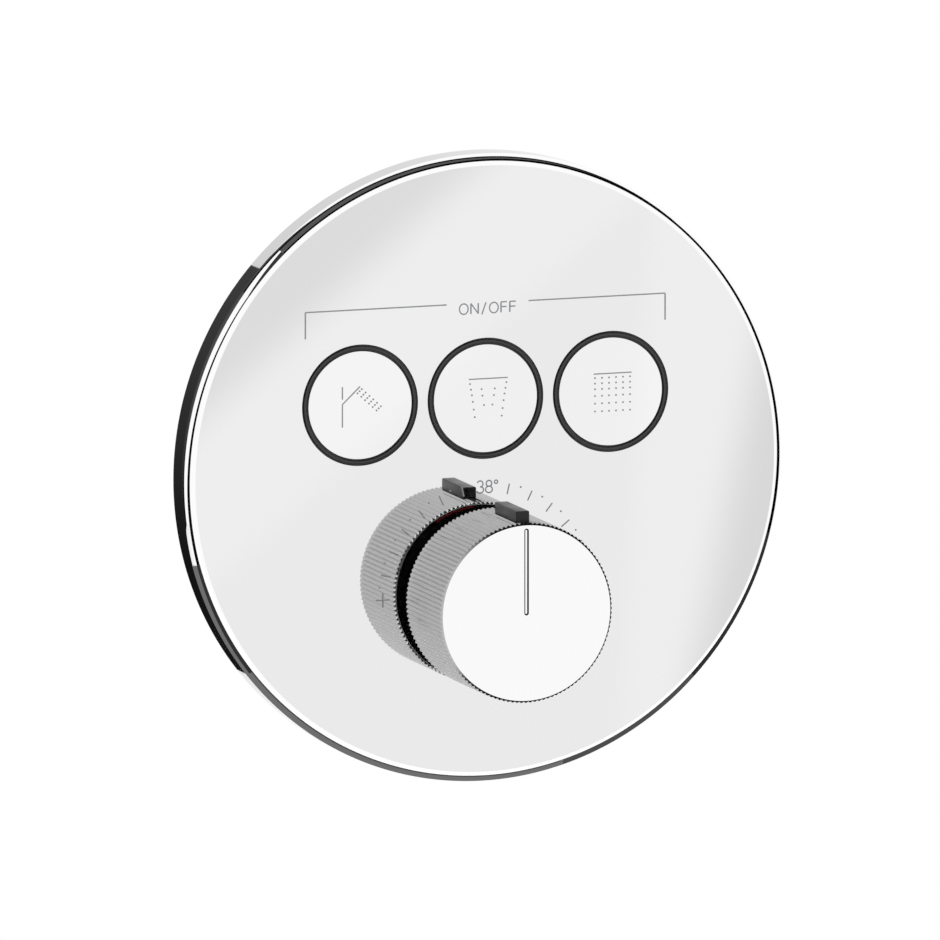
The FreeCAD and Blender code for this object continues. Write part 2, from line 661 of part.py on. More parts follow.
def safety_lever():
    """The block on top of the knob that is pressed to pass the safe temperature."""
    half = LEVER_WIDTH / 2
    top = KNOB_Z + KNOB_VALLEY + LEVER_RISE
    flange_top = KNOB_Z + LEVER_FLANGE_TOP
    flange_low = flange_top - LEVER_FLANGE_GAUGE
    bar = block(-half, half, LEVER_FRONT_Y, LEVER_BACK_Y, flange_low, top)
    bar = bar.makeFillet(LEVER_EDGE, [e for e in bar.Edges if e.CenterOfMass.z > top - LEVER_EDGE])
    flange = block(-LEVER_FLANGE_HALF, LEVER_FLANGE_HALF, LEVER_FRONT_Y, LEVER_BACK_Y,
                   flange_low, flange_top)
    pawl = block(-half, half, LEVER_BACK_Y - PAWL_LENGTH, LEVER_BACK_Y,
                 KNOB_Z + LEVER_FOOT, flange_top)
    return fuse([bar, flange, pawl])


def lever_spring():
    """The space of the small coil spring under the safety lever."""
    y = (LEVER_FRONT_Y + INSERT_RIB_END_Y) / 2
    low = KNOB_Z + HUB_RADIUS
    top = KNOB_Z + LEVER_FLANGE_TOP - LEVER_FLANGE_GAUGE
    inner = LEVER_SPRING_RADIUS - LEVER_SPRING_GAUGE
    return rod_z(LEVER_SPRING_RADIUS, low, top, 0, y).cut(rod_z(inner, low, top, 0, y))


def grub_screw():
    """The socket screw under the knob that grips the spindle."""
    y = grub_y()
    tip = KNOB_Z - SPINDLE_RADIUS - RUN_FIT
    screw = rod_z(GRUB_RADIUS, tip - GRUB_LENGTH, tip, 0, y)
    socket = aim(hexagon(GRUB_SOCKET, 0, GRUB_LENGTH / 3), vec(0, 0, 1), vec(0, y, tip - GRUB_LENGTH))
    return cut(screw, [socket])


def temperature_spindle():
    """The splined spindle: shoulder inside the cartridge and a driving screw behind it."""
    spline_end = INSERT_RIB_END_Y
    shoulder = THERMO_FRONT_WALL_Y + SEAL_NIP
    shoulder_back = shoulder + SHOULDER_GAUGE
    spline = star(SPINDLE_RADIUS, SPINDLE_RADIUS - SPLINE_DEPTH, SPLINE_TEETH,
                  INSERT_FLOOR_Y + SLIDE_GAP, spline_end, KNOB_Z)
    shaft = turned([(0, spline_end), (SPINDLE_RADIUS, spline_end), (SPINDLE_RADIUS, shoulder),
                    (SHOULDER_RADIUS, shoulder), (SHOULDER_RADIUS, shoulder_back),
                    (SPINDLE_RADIUS, shoulder_back),
                    (SPINDLE_RADIUS, SPINDLE_END), (0, SPINDLE_END)], 0, KNOB_Z)
    return fuse([spline, shaft])


def base_collar():
    """The dark collar between plate and knob, round the cartridge's nose."""
    bore = NOSE_RADIUS + SEAT_FIT
    front = FACE_Y - COLLAR_LENGTH
    return turned([(bore, front), (COLLAR_RADIUS - COLLAR_EDGE, front),
                   (COLLAR_RADIUS, front + COLLAR_EDGE), (COLLAR_RADIUS, FACE_Y),
                   (COLLAR_NECK, FACE_Y), (COLLAR_NECK, PLATE_BACK_Y),
                   (bore, PLATE_BACK_Y)], 0, KNOB_Z)


def stop_ring():
    """The toothed ring on the cartridge's nose that marks the safe temperature."""
    front = -NOSE_LENGTH
    back = KNOB_BACK_Y - STOP_TOOTH
    outer = LEVER_FOOT - LEVER_TRAVEL - 2 * SLIDE_GAP
    ring = pipe(outer, NOSE_RADIUS + SEAT_FIT, front, back, 0, KNOB_Z)
    half = STOP_TOOTH / 2
    tooth = block(STOP_TOOTH_X - half, STOP_TOOTH_X + half, front, back,
                  KNOB_Z + outer - STOP_TOOTH, KNOB_Z + LEVER_FOOT - 3 * SLIDE_GAP)
    return fuse([ring, tooth])


# ---- thermostatic cartridge ----------------------------------------------------------

def thermo_housing():
    """The cartridge's shell: nose, flange, ported barrel and three ring grooves."""
    nose_bore = SPINDLE_RADIUS + RUN_FIT
    neck_front = THERMO_POT_MOUTH - SHOULDER_GAUGE / 2
    shell = turned([(nose_bore, -NOSE_LENGTH), (NOSE_RADIUS, -NOSE_LENGTH),
                    (NOSE_RADIUS, neck_front), (THERMO_NECK, neck_front),
                    (THERMO_NECK, THERMO_FLANGE_FRONT), (THERMO_FLANGE, THERMO_FLANGE_FRONT),
                    (THERMO_FLANGE, THERMO_SHOULDER), (THERMO_RADIUS, THERMO_SHOULDER),
                    (THERMO_RADIUS, THERMO_END), (THERMO_BORE, THERMO_END),
                    (THERMO_BORE, THERMO_FRONT_WALL_Y),
                    (nose_bore, THERMO_FRONT_WALL_Y)], 0, KNOB_Z)
    tools = [ring_groove(THERMO_RADIUS, y, 0, KNOB_Z) for y in thermo_ring_places()]
    for band in (COLD_BAND, HOT_BAND):
        tools += windows(0, KNOB_Z, band, PORT_WINDOW, PORT_WINDOW, [0, 90])
    return cut(shell, tools)


def thermo_ring_places():
    """Y places of the O-rings in front of, between and behind the two inlet bands."""
    step = (HOT_BAND - COLD_BAND) / 2
    return (COLD_BAND - step, COLD_BAND + step, HOT_BAND + step - 2 * SLIDE_GAP)


def thermo_rings():
    """The O-rings of the thermostatic cartridge."""
    rings = [ring_in_groove(THERMO_RADIUS, y, 0, KNOB_Z) for y in thermo_ring_places()]
    return Part.makeCompound(rings)


def thermo_nut():
    """The hexagonal nut that clamps the thermostatic cartridge."""
    front = THERMO_NUT_FRONT
    step = THERMO_POT_MOUTH - SHOULDER_GAUGE
    thread = rod(THERMO_FLANGE, THERMO_POT_MOUTH, THERMO_FLANGE_FRONT, 0, KNOB_Z)
    head = hexagon(2 * (THERMO_FLANGE - CARTRIDGE_EDGE), front, THERMO_POT_MOUTH, 0, KNOB_Z)
    bore = rod(THERMO_NECK + SEAT_FIT, step, THERMO_FLANGE_FRONT, 0, KNOB_Z)
    way = rod(NOSE_RADIUS + SEAT_FIT, front, step, 0, KNOB_Z)
    return cut(fuse([thread, head]), [bore, way])


def driver_nut():
    """The block that the spindle's screw moves along the cartridge."""
    outer = THERMO_BORE - RUN_FIT
    bore = SPINDLE_RADIUS + RUN_FIT
    floor = DRIVER_BACK - DRIVER_FLOOR
    return turned([(bore, DRIVER_FRONT), (outer, DRIVER_FRONT), (outer, DRIVER_BACK),
                   (0, DRIVER_BACK), (0, floor), (bore, floor)], 0, KNOB_Z)


def overload_spring():
    """The space of the spring that gives way when the wax has no more room."""
    return pipe(OVERLOAD_RADIUS, OVERLOAD_RADIUS - SPRING_GAUGE, DRIVER_BACK,
                DRIVER_BACK + OVERLOAD_LENGTH, 0, KNOB_Z)


def wax_element():
    """The wax capsule: piston, flange, capsule and tail."""
    flange = DRIVER_BACK + OVERLOAD_LENGTH
    flange_back = flange + CAPSULE_FLANGE_GAUGE
    return turned([(0, DRIVER_BACK), (PISTON_RADIUS, DRIVER_BACK), (PISTON_RADIUS, flange),
                   (CAPSULE_FLANGE, flange), (CAPSULE_FLANGE, flange_back),
                   (CAPSULE_RADIUS, flange_back), (CAPSULE_RADIUS, CAPSULE_BACK),
                   (TAIL_RADIUS, CAPSULE_BACK), (TAIL_RADIUS, TAIL_END), (0, TAIL_END)], 0, KNOB_Z)


def regulating_spool():
    """The sliding sleeve whose two ends meter the cold and the hot water."""
    outer = THERMO_BORE - RUN_FIT
    hub_front = DRIVER_BACK + OVERLOAD_LENGTH + CAPSULE_FLANGE_GAUGE
    web_front = (SPOOL_FRONT + SPOOL_BACK) / 2 - SPOOL_WEB / 2
    rim = pipe(outer, outer - SPOOL_WALL, SPOOL_FRONT, SPOOL_BACK, 0, KNOB_Z)
    hub = pipe(SPOOL_HUB, CAPSULE_RADIUS + SEAT_FIT, hub_front, SPOOL_BACK, 0, KNOB_Z)
    web = pipe(outer - SPOOL_WALL / 2, SPOOL_HUB - SPOOL_WALL / 2,
               web_front, web_front + SPOOL_WEB, 0, KNOB_Z)
    ways = [rod(SPOOL_WAY, web_front, web_front + SPOOL_WEB, x, KNOB_Z + z)
            for x, z in circle_places(SPOOL_WAY_CIRCLE, 4)]
    return cut(fuse([rim, hub, web]), ways)


def circle_places(radius, count):
    """Points evenly round a circle about the origin."""
    turns = [2 * math.pi * (i + 0.5) / count for i in range(count)]
    return [(radius * math.cos(t), radius * math.sin(t)) for t in turns]


def regulator_spring():
    """The space of the spring that pushes the spool back to the front."""
    return pipe(REGULATOR_SPRING_RADIUS, REGULATOR_SPRING_RADIUS - SPRING_GAUGE,
                SPOOL_BACK, THERMO_END, 0, KNOB_Z)


def thermo_end_cap():
    """The cage that closes the cartridge and guides the wax element's tail."""
    back = THERMO_END + THERMO_CAP_GAUGE
    cap = pipe(THERMO_RADIUS, TAIL_RADIUS + RUN_FIT, THERMO_END, back, 0, KNOB_Z)
    ways = [rod(CAP_WAY, THERMO_END, back, x, KNOB_Z + z)
            for x, z in circle_places(CAP_WAY_CIRCLE, 4)]
    return cut(cap, ways)


# ---- casting -------------------------------------------------------------------------

def pot(radius, mouth, floor, x, z):
    """The outside of a cartridge pot, with broken edges."""
    back = floor + CASTING_WALL
    step = 2 * POT_EDGE
    return turned([(0, mouth), (radius - POT_EDGE, mouth), (radius, mouth + POT_EDGE),
                   (radius, back - step), (radius - step, back), (0, back)], x, z)


def pot_way(counterbore, bore, mouth, shoulder, floor, x, z):
    """The stepped bore of a cartridge pot."""
    return turned([(0, mouth), (counterbore, mouth), (counterbore, shoulder),
                   (bore, shoulder), (bore, floor), (0, floor)], x, z)


def port_outside(length):
    """A pipe connection's outside along Y from the origin, with a hexagonal end."""
    neck = rod(ARM_RADIUS, 0, length - HEX_LENGTH / 2)
    end = hexagon(PORT_FLATS, length - HEX_LENGTH, length)
    return [neck, end]


def inlet_outside(side):
    """One inlet arm, from the thermostatic pot to its threaded mouth."""
    axis = vec(side, 0, 0)
    return [aim(piece, axis, vec(0, ARM_Y, KNOB_Z)) for piece in port_outside(INLET_END)]


def outlet_outside(x):
    """One outlet, up from its cartridge pot."""
    length = OUTLET_TOP - BUTTON_ROW_Z
    place = vec(x, OUTLET_Y, BUTTON_ROW_Z)
    return [aim(piece, vec(0, 0, 1), place) for piece in port_outside(length)]


def inlet_ways(side, band):
    """An inlet's thread bore, check valve bore and offset way into the cartridge."""
    relief = CHECK_INNER - INLET_RELIEF
    return [rod_x(THREAD_BORE, side * CHECK_OUTER, side * INLET_END, ARM_Y, KNOB_Z),
            rod_x(CHECK_BORE, side * CHECK_INNER, side * CHECK_OUTER, ARM_Y, KNOB_Z),
            rod_x(CHECK_BARREL, side * relief, side * CHECK_INNER, ARM_Y, KNOB_Z),
            rod_x(INLET_WAY, 0, side * (relief + 1), band, KNOB_Z)]


def outlet_ways(x):
    """An outlet's thread bore and the way down to its cartridge."""
    step = OUTLET_TOP - THREAD_DEPTH
    return [rod_z(THREAD_BORE, step, OUTLET_TOP, x, OUTLET_Y),
            rod_z(OUTLET_WAY, BUTTON_ROW_Z, step, x, OUTLET_Y)]


def lugs_and_webs():
    """Four through lugs, with the webs that tie them to pots and arms."""
    pieces = [rod(LUG_RADIUS, LUG_FRONT, LUG_BACK, x, z) for x, z in LUGS]
    half = UPPER_LUG_X - ARM_RADIUS + WEB_HALF
    for side in (-1, 1):
        x = side * UPPER_LUG_X
        pieces.append(block(x - half, x + half, OUTLET_Y - WEB_HALF, OUTLET_Y + WEB_HALF,
                            UPPER_LUG_Z - LUG_RADIUS, UPPER_LUG_Z + WEB_HALF))
        x = side * LOWER_LUG_X
        pieces.append(block(x - WEB_HALF, x + WEB_HALF, ARM_Y - WEB_HALF, ARM_Y + WEB_HALF,
                            KNOB_Z + ARM_RADIUS - WEB_HALF, BUTTON_ROW_Z - POT_RADIUS + LUG_RADIUS))
    return pieces


def valve_body():
    """The brass casting: three shut-off pots, the thermostatic pot, arms and outlets."""
    solids = [pot(THERMO_POT_RADIUS, THERMO_POT_MOUTH, THERMO_POT_FLOOR, 0, KNOB_Z)]
    solids.append(rod_x(GALLERY_BORE + GALLERY_WALL, -GALLERY_END, GALLERY_END,
                        GALLERY_Y, BUTTON_ROW_Z))
    solids.append(rod_z(RISER_BORE + CASTING_WALL, KNOB_Z, BUTTON_ROW_Z, 0, RISER_Y))
    tools = [pot_way(THERMO_COUNTERBORE, THERMO_POT_BORE, THERMO_POT_MOUTH,
                     THERMO_SHOULDER, THERMO_POT_FLOOR, 0, KNOB_Z)]
    tools.append(rod_x(GALLERY_BORE, -GALLERY_END, GALLERY_END, GALLERY_Y, BUTTON_ROW_Z))
    tools.append(rod_z(RISER_BORE, KNOB_Z, BUTTON_ROW_Z, 0, RISER_Y))
    for x in SITES.values():
        solids.append(pot(POT_RADIUS, POT_MOUTH, POT_FLOOR, x, BUTTON_ROW_Z))
        solids += outlet_outside(x)
        tools.append(pot_way(POT_COUNTERBORE, POT_BORE, POT_MOUTH,
                             POT_SHOULDER, POT_FLOOR, x, BUTTON_ROW_Z))
        tools += outlet_ways(x)
    for side, band in ((-1, HOT_BAND), (1, COLD_BAND)):
        solids += inlet_outside(side)
        tools += inlet_ways(side, band)
    solids += lugs_and_webs()
    for x, z in LUGS:
        tools.append(rod(LUG_BORE, LUG_FRONT, LUG_FRONT + STUD_LENGTH + CARRIER_RIB, x, z))
        tools.append(rod(LUG_BORE, LUG_BACK - STUD_LENGTH - CARRIER_RIB, LUG_BACK, x, z))
    return cut(fuse(solids), tools)


def gallery_plugs():
    """Socket plugs in both ends of the gallery."""
    inner = GALLERY_END - PLUG_LENGTH
    floor = GALLERY_END - PLUG_LENGTH / 2
    plugs = []
    for side in (-1, 1):
        plug = rod_x(GALLERY_BORE - RUN_FIT, side * inner, side * GALLERY_END,
                     GALLERY_Y, BUTTON_ROW_Z)
        socket = aim(hexagon(PLUG_SOCKET, 0, PLUG_LENGTH / 2), vec(side, 0, 0),
                     vec(side * floor, GALLERY_Y, BUTTON_ROW_Z))
        plugs.append(cut(plug, [socket]))
    return Part.makeCompound(plugs)


def strainer(side):
    """The perforated cup in front of a check valve."""
    step = CHECK_OUTER - STRAINER_FLOOR
    cup = turned_x([(0, step), (CHECK_BARREL, step), (CHECK_BARREL, CHECK_FRONT),
                    (CHECK_RADIUS, CHECK_FRONT), (CHECK_RADIUS, CHECK_OUTER),
                    (0, CHECK_OUTER)], ARM_Y, KNOB_Z, side)
    holes = [rod_x(CHECK_STEM, side * step, side * CHECK_OUTER, ARM_Y + y, KNOB_Z + z)
             for y, z in [(0, 0)] + circle_places(CHECK_SEAT_HOLE, 4)]
    return cut(cup, holes)


def check_housing(side):
    """The shell of a check valve: seat towards the pipe, guide cross behind."""
    seat = CHECK_FRONT - CHECK_SEAT_GAUGE
    guide = CHECK_STEM + RUN_FIT
    inner = CHECK_INNER + CHECK_SEAT_GAUGE
    shell = turned_x([(CHECK_SEAT_HOLE, CHECK_FRONT), (CHECK_RADIUS, CHECK_FRONT),
                      (CHECK_RADIUS, CHECK_INNER), (guide, CHECK_INNER), (guide, inner),
                      (CHECK_BARREL, inner), (CHECK_BARREL, seat),
                      (CHECK_SEAT_HOLE, seat)], ARM_Y, KNOB_Z, side)
    ways = [rod_x(CHECK_STEM, side * CHECK_INNER, side * inner, ARM_Y + y, KNOB_Z + z)
            for y, z in circle_places(CHECK_SEAT_HOLE + SLIDE_GAP, 4)]
    return cut(shell, ways)


def check_poppet(side):
    """The moving disc of a check valve, on its guide stem."""
    back = POPPET_FACE - POPPET_GAUGE
    return turned_x([(0, POPPET_FACE), (POPPET_RADIUS - POPPET_EDGE, POPPET_FACE),
                     (POPPET_RADIUS, POPPET_FACE - POPPET_EDGE), (POPPET_RADIUS, back),
                     (CHECK_STEM, back), (CHECK_STEM, CHECK_INNER),
                     (0, CHECK_INNER)], ARM_Y, KNOB_Z, side)


def check_spring(side):
    """The space of a check valve's spring."""
    far = POPPET_FACE - POPPET_GAUGE
    near = CHECK_INNER + CHECK_SEAT_GAUGE
    tube = rod_x(2 * CHECK_STEM, side * near, side * far, ARM_Y, KNOB_Z)
    return tube.cut(rod_x(CHECK_STEM + 2 * SLIDE_GAP, side * near, side * far, ARM_Y, KNOB_Z))


def mounting_bracket():
    """The sheet-steel cross behind the casting, screwed to the wall's frame."""
    back = LUG_BACK + BRACKET_GAUGE
    half_x = BRACKET_PITCH_X / 2 + BRACKET_MARGIN
    half_z = BRACKET_PITCH_Z / 2 + BRACKET_MARGIN
    reach = LOWER_LUG_X + BRACKET_ARM_HALF
    strap = block(-half_x, half_x, LUG_BACK, back, BRACKET_CENTRE_Z - half_z, BRACKET_CENTRE_Z + half_z)
    arm = block(-reach, reach, LUG_BACK, back,
                LOWER_LUG_Z - BRACKET_ARM_HALF, LOWER_LUG_Z + BRACKET_ARM_HALF)
    plates = [round_corners(strap, half_x), round_corners(arm, reach)]
    tools = [rod(LUG_BORE + SEAT_FIT, LUG_BACK, back, x, z) for x, z in LUGS]
    tools += [rod(BRACKET_HOLE, LUG_BACK, back, x, z) for x, z in bracket_holes()]
    for z in (KNOB_Z, BUTTON_ROW_Z):
        tools.append(block(-BRACKET_WINDOW, BRACKET_WINDOW, LUG_BACK, back,
                           z - BRACKET_WINDOW, z + BRACKET_WINDOW))
    return cut(fuse(plates), tools)


def round_corners(plate, half_x):
    """Round the corner edges of a flat plate that lies across Y."""
    edges = []
    for edge in plate.Edges:
        middle = edge.CenterOfMass
        across = edge.Length > 1.5 * BRACKET_GAUGE
        if abs(abs(middle.x) - half_x) < 1e-6 and not across:
            edges.append(edge)
    return plate.makeFillet(BRACKET_MARGIN, edges)


def bracket_holes():
    """The four wall-fixing holes as (x, z)."""
    return [(sx * BRACKET_PITCH_X / 2, BRACKET_CENTRE_Z + sz * BRACKET_PITCH_Z / 2)
            for sx in (-1, 1) for sz in (-1, 1)]


def bracket_screws():
    """The four screws that hold the casting to its bracket."""
    back = LUG_BACK + BRACKET_GAUGE
    screws = []
    for x, z in LUGS:
        shank = rod(LUG_BORE - SEAT_FIT, LUG_BACK - BRACKET_SCREW_LENGTH, back, x, z)
        head = rod(BRACKET_SCREW_HEAD, back, back + BRACKET_SCREW_SOCKET, x, z)
        socket = hexagon(BRACKET_SCREW_HEAD, back + BRACKET_SCREW_SOCKET / 2,
                         back + BRACKET_SCREW_SOCKET, x, z)
        screws.append(cut(fuse([shank, head]), [socket]))
    return Part.makeCompound(screws)


def build_trim():
    save("faceplate", faceplate())
    save("wall_seal", wall_seal())
    save("trim_carrier", trim_carrier())
    save("trim_pillars", trim_pillars())
    save("carrier_screws", carrier_screws())


def build_buttons():
    for side, x in SITES.items():
        save("button_cap_" + side, button_cap(x))
        save("button_ring_" + side, button_ring(x))
        save("button_stem_" + side, button_stem(x))
        save("valve_disc_" + side, valve_disc(x))
        save("button_spring_" + side, return_spring(x))
        save("outlet_cartridge_" + side, outlet_cartridge(x))
        save("cartridge_nut_" + side, outlet_cartridge_nut(x))
    save("cartridge_rings", outlet_cartridge_rings())


def build_knob():
    save("knob_sleeve", knob_sleeve())
    save("knob_insert", knob_insert())
    save("knob_grub_screw", grub_screw())
    save("safety_lever", safety_lever())
    save("safety_lever_spring", lever_spring())
    save("temperature_spindle", temperature_spindle())
    save("base_collar", base_collar())
    save("stop_ring", stop_ring())


def build_thermostat():
    save("thermo_housing", thermo_housing())
    save("thermo_rings", thermo_rings())
    save("thermo_nut", thermo_nut())
    save("driver_nut", driver_nut())
    save("overload_spring", overload_spring())
    save("wax_element", wax_element())
    save("regulating_spool", regulating_spool())
    save("regulator_spring", regulator_spring())
    save("thermo_end_cap", thermo_end_cap())


def build_casting():
    save("valve_body", valve_body())
    save("gallery_plugs", gallery_plugs())
    save("mounting_bracket", mounting_bracket())
    save("bracket_screws", bracket_screws())
    for name, side in (("hot", -1), ("cold", 1)):
        save(name + "_strainer", strainer(side))
        save(name + "_check_housing", check_housing(side))
        save(name + "_check_poppet", check_poppet(side))
        save(name + "_check_spring", check_spring(side))


os.makedirs("parts", exist_ok=True)
build_trim()
build_buttons()
build_knob()
build_thermostat()
build_casting()
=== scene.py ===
"""Looks for a concealed thermostatic shower valve: polished plate, push buttons, ribbed knob."""

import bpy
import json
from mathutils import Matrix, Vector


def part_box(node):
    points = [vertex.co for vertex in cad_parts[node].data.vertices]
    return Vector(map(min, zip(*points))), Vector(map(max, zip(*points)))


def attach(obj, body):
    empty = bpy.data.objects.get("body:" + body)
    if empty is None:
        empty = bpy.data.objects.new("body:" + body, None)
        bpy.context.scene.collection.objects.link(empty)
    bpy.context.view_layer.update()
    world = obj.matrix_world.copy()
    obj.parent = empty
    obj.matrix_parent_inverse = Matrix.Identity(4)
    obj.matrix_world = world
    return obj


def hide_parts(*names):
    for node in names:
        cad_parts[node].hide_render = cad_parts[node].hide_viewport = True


bl_info = {
    "name": "Thermostatic shower valve looks",
    "version": (1, 0, 0),
    "blender": (4, 5, 0),
    "location": "3D View > Sidebar > Shower valve",
    "description": "Builds the visible pieces and finishes of a concealed shower valve",
    "category": "Object",
}

import functools
import json
import math

import bmesh
import bpy
from bpy.props import FloatProperty, FloatVectorProperty, IntProperty, PointerProperty
from mathutils import Matrix, Vector

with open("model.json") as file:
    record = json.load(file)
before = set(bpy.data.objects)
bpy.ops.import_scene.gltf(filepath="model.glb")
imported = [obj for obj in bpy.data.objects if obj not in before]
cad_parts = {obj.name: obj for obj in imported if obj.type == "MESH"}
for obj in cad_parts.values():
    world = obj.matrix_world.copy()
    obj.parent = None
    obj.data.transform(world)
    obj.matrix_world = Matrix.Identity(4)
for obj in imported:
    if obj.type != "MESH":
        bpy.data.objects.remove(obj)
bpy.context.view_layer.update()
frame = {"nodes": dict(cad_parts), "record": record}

# ---- places read from the frame, in metres

PLATE_LOW, PLATE_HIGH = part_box("faceplate")
CAP_LOW, CAP_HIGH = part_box("button_cap_middle")
RING_LOW, RING_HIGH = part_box("button_ring_middle")
KNOB_LOW, KNOB_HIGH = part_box("knob_sleeve")
LEVER_LOW, LEVER_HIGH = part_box("safety_lever")
COLLAR_LOW, COLLAR_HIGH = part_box("base_collar")

FACE_Y = PLATE_LOW.y
BUTTON_Z = (CAP_LOW.z + CAP_HIGH.z) / 2
KNOB_Z = (KNOB_LOW.z + KNOB_HIGH.z) / 2
KNOB_CENTRE = (0.0, KNOB_Z)
SITES = {}
for side in ("left", "middle", "right"):
    low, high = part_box("button_cap_" + side)
    SITES[side] = (low.x + high.x) / 2

MM = 0.001
ACROSS_Y = Matrix.Rotation(math.radians(90), 4, "X")


def linear(code):
    """The linear red, green, blue and alpha of an sRGB hex colour."""
    parts = [int(code[i:i + 2], 16) / 255 for i in (1, 3, 5)]
    return [p / 12.92 if p <= 0.04045 else ((p + 0.055) / 1.055) ** 2.4 for p in parts] + [1.0]


def add_node(tree, kind, inputs=None, **settings):
    """Add a shader node. settings are its attributes, inputs its values or what feeds it."""
    node = tree.nodes.new(kind)
    for name, value in settings.items():
        setattr(node, name, value)
    for name, value in (inputs or {}).items():
        if isinstance(value, bpy.types.NodeSocket):
            tree.links.new(value, node.inputs[name])
        else:
            node.inputs[name].default_value = value
    return node


def new_material(name, fill, *values):
    """A node material whose surface is the shader that fill makes in its tree."""
    material = bpy.data.materials.new(name)
    material.use_nodes = True
    tree = material.node_tree
    tree.nodes.clear()
    shader = fill(tree, *values)
    add_node(tree, "ShaderNodeOutputMaterial", {"Surface": shader.outputs[0]})
    return material


# ---- sizes and colours that a user would change

def colour_property(name, description, code):
    return FloatVectorProperty(name=name, description=description, subtype="COLOR",
                               size=3, min=0.0, max=1.0, default=linear(code)[:3])


def length_property(name, description, default):
    return FloatProperty(name=name, description=description, default=default,
                         min=0.0, unit="LENGTH", precision=5)


class PlateSettings(bpy.types.PropertyGroup):
    radius: length_property("Radius", "Outer radius of the cover plate",
                            min(PLATE_HIGH.x, -PLATE_LOW.x) - 0.00001)
    edge: length_property("Edge", "Radius of the rounded front edge", 0.0034)
    gauge: length_property("Gauge", "Thickness of the sheet", 0.002)
    segments: IntProperty(name="Segments", description="Steps round the plate",
                          default=360, min=64, max=720)
    # Painted light and shade: one chrome in three tones, the bead lighter as a painted highlight,
    # the wall darker as painted shade.
    face: colour_property("Face", "Tone of the polished face", "#EAEAEA")
    bead: colour_property("Bead", "Tone of the rounded edge", "#FCFCFD")
    wall: colour_property("Wall", "Tone of the side wall", "#CACACA")


class ButtonSettings(bpy.types.PropertyGroup):
    radius: length_property("Radius", "Radius of a button", (CAP_HIGH.x - CAP_LOW.x) / 2)
    edge: length_property("Edge", "Rounding of a button's edge", 0.00012)
    ring: length_property("Ring", "Outer radius of the dark ring", 0.0187)
    # Painted light: the button's chrome is its own lighter copy of the plate's.
    face: colour_property("Face", "Tone of the button's polished face", "#F0F0F0")
    rubber: colour_property("Ring colour", "Colour of the ring round a button", "#222224")


class KnobSettings(bpy.types.PropertyGroup):
    crest: length_property("Crest", "Radius over the ribs", (KNOB_HIGH.x - KNOB_LOW.x) / 2)
    depth: length_property("Rib depth", "Height of a rib", 0.0005)
    ribs: IntProperty(name="Ribs", description="Number of ribs round the knob",
                      default=120, min=24, max=240)
    # Painted light and shade: the knob's face is a lighter and its ribbed side a darker copy of one
    # chrome.
    face: colour_property("Face", "Tone of the knob's polished face", "#F9F9F9")
    side: colour_property("Side", "Tone of the satin ribbed side", "#B6B6B7")
    # Painted reflection: the crown's near-black tone stands for a dark room mirrored in the cut
    # edges.
    crown: colour_property("Crown", "Tone of the cut edges round the knob's face", "#141415")
    lever: colour_property("Lever", "Colour of the lever, collar and insert", "#131314")


class PrintSettings(bpy.types.PropertyGroup):
    line: length_property("Line", "Width of a printed line", 0.0005)
    fine: length_property("Fine line", "Width of a line in a button's sign", 0.00045)
    dot: length_property("Dot", "Diameter of a printed dot", 0.00064)
    rise: length_property("Rise", "How far the print stands proud", 0.00003)
    ink: colour_property("Ink", "Grey of the printed marks", "#85878A")
    red: colour_property("Red", "Red of the hot mark under the knob", "#7A1416")


class StageSettings(bpy.types.PropertyGroup):
    distance: length_property("Distance", "Camera's distance from the plate", 12.0)
    width: length_property("Width", "Width of the picture at the plate", 0.2958)
    floor: length_property("Floor", "Depth of the floor under the plate's centre", 0.45)


# ---- finishes

def polished_chrome(tree, tone, haze_low=0.015, haze_high=0.035):
    """Bright nickel-chromium plating over brass: a clean mirror with faint polishing haze."""
    place = add_node(tree, "ShaderNodeTexCoord").outputs["Object"]
    haze = add_node(tree, "ShaderNodeTexNoise", {"Vector": place, "Scale": 55.0, "Detail": 2.0})
    rough = add_node(tree, "ShaderNodeMapRange",
                     {"Value": haze.outputs["Fac"], "From Min": 0.3, "From Max": 0.7,
                      "To Min": haze_low, "To Max": haze_high})
    return add_node(tree, "ShaderNodeBsdfPrincipled",
                    {"Base Color": [*tone, 1.0], "Metallic": 1.0,
                     "Roughness": rough.outputs["Result"]})


def painted_reflection_chrome(tree, dark, satin):
    """Chrome on the ribs' cut ends with a painted reflection: near black, and the side's tone
    towards the left.
    """
    place = add_node(tree, "ShaderNodeTexCoord").outputs["Object"]
    part = add_node(tree, "ShaderNodeSeparateXYZ", {"Vector": place})
    # Painted reflection: the fade from near black to the side's tone at the knob's left is fixed on
    # the knob and turns with it.
    painted_reflection_share = add_node(tree, "ShaderNodeMapRange",
                     {"Value": part.outputs["X"], "From Min": -0.026, "From Max": -0.010,
                      "To Min": 1.0, "To Max": 0.0}, interpolation_type="SMOOTHSTEP")
    shade = add_node(tree, "ShaderNodeMix",
                     {"Factor": painted_reflection_share.outputs["Result"], "A": [*dark, 1.0],
                      "B": [*satin, 1.0]}, data_type="RGBA")
    return add_node(tree, "ShaderNodeBsdfPrincipled",
                    {"Base Color": shade.outputs["Result"], "Metallic": 1.0, "Roughness": 0.1})


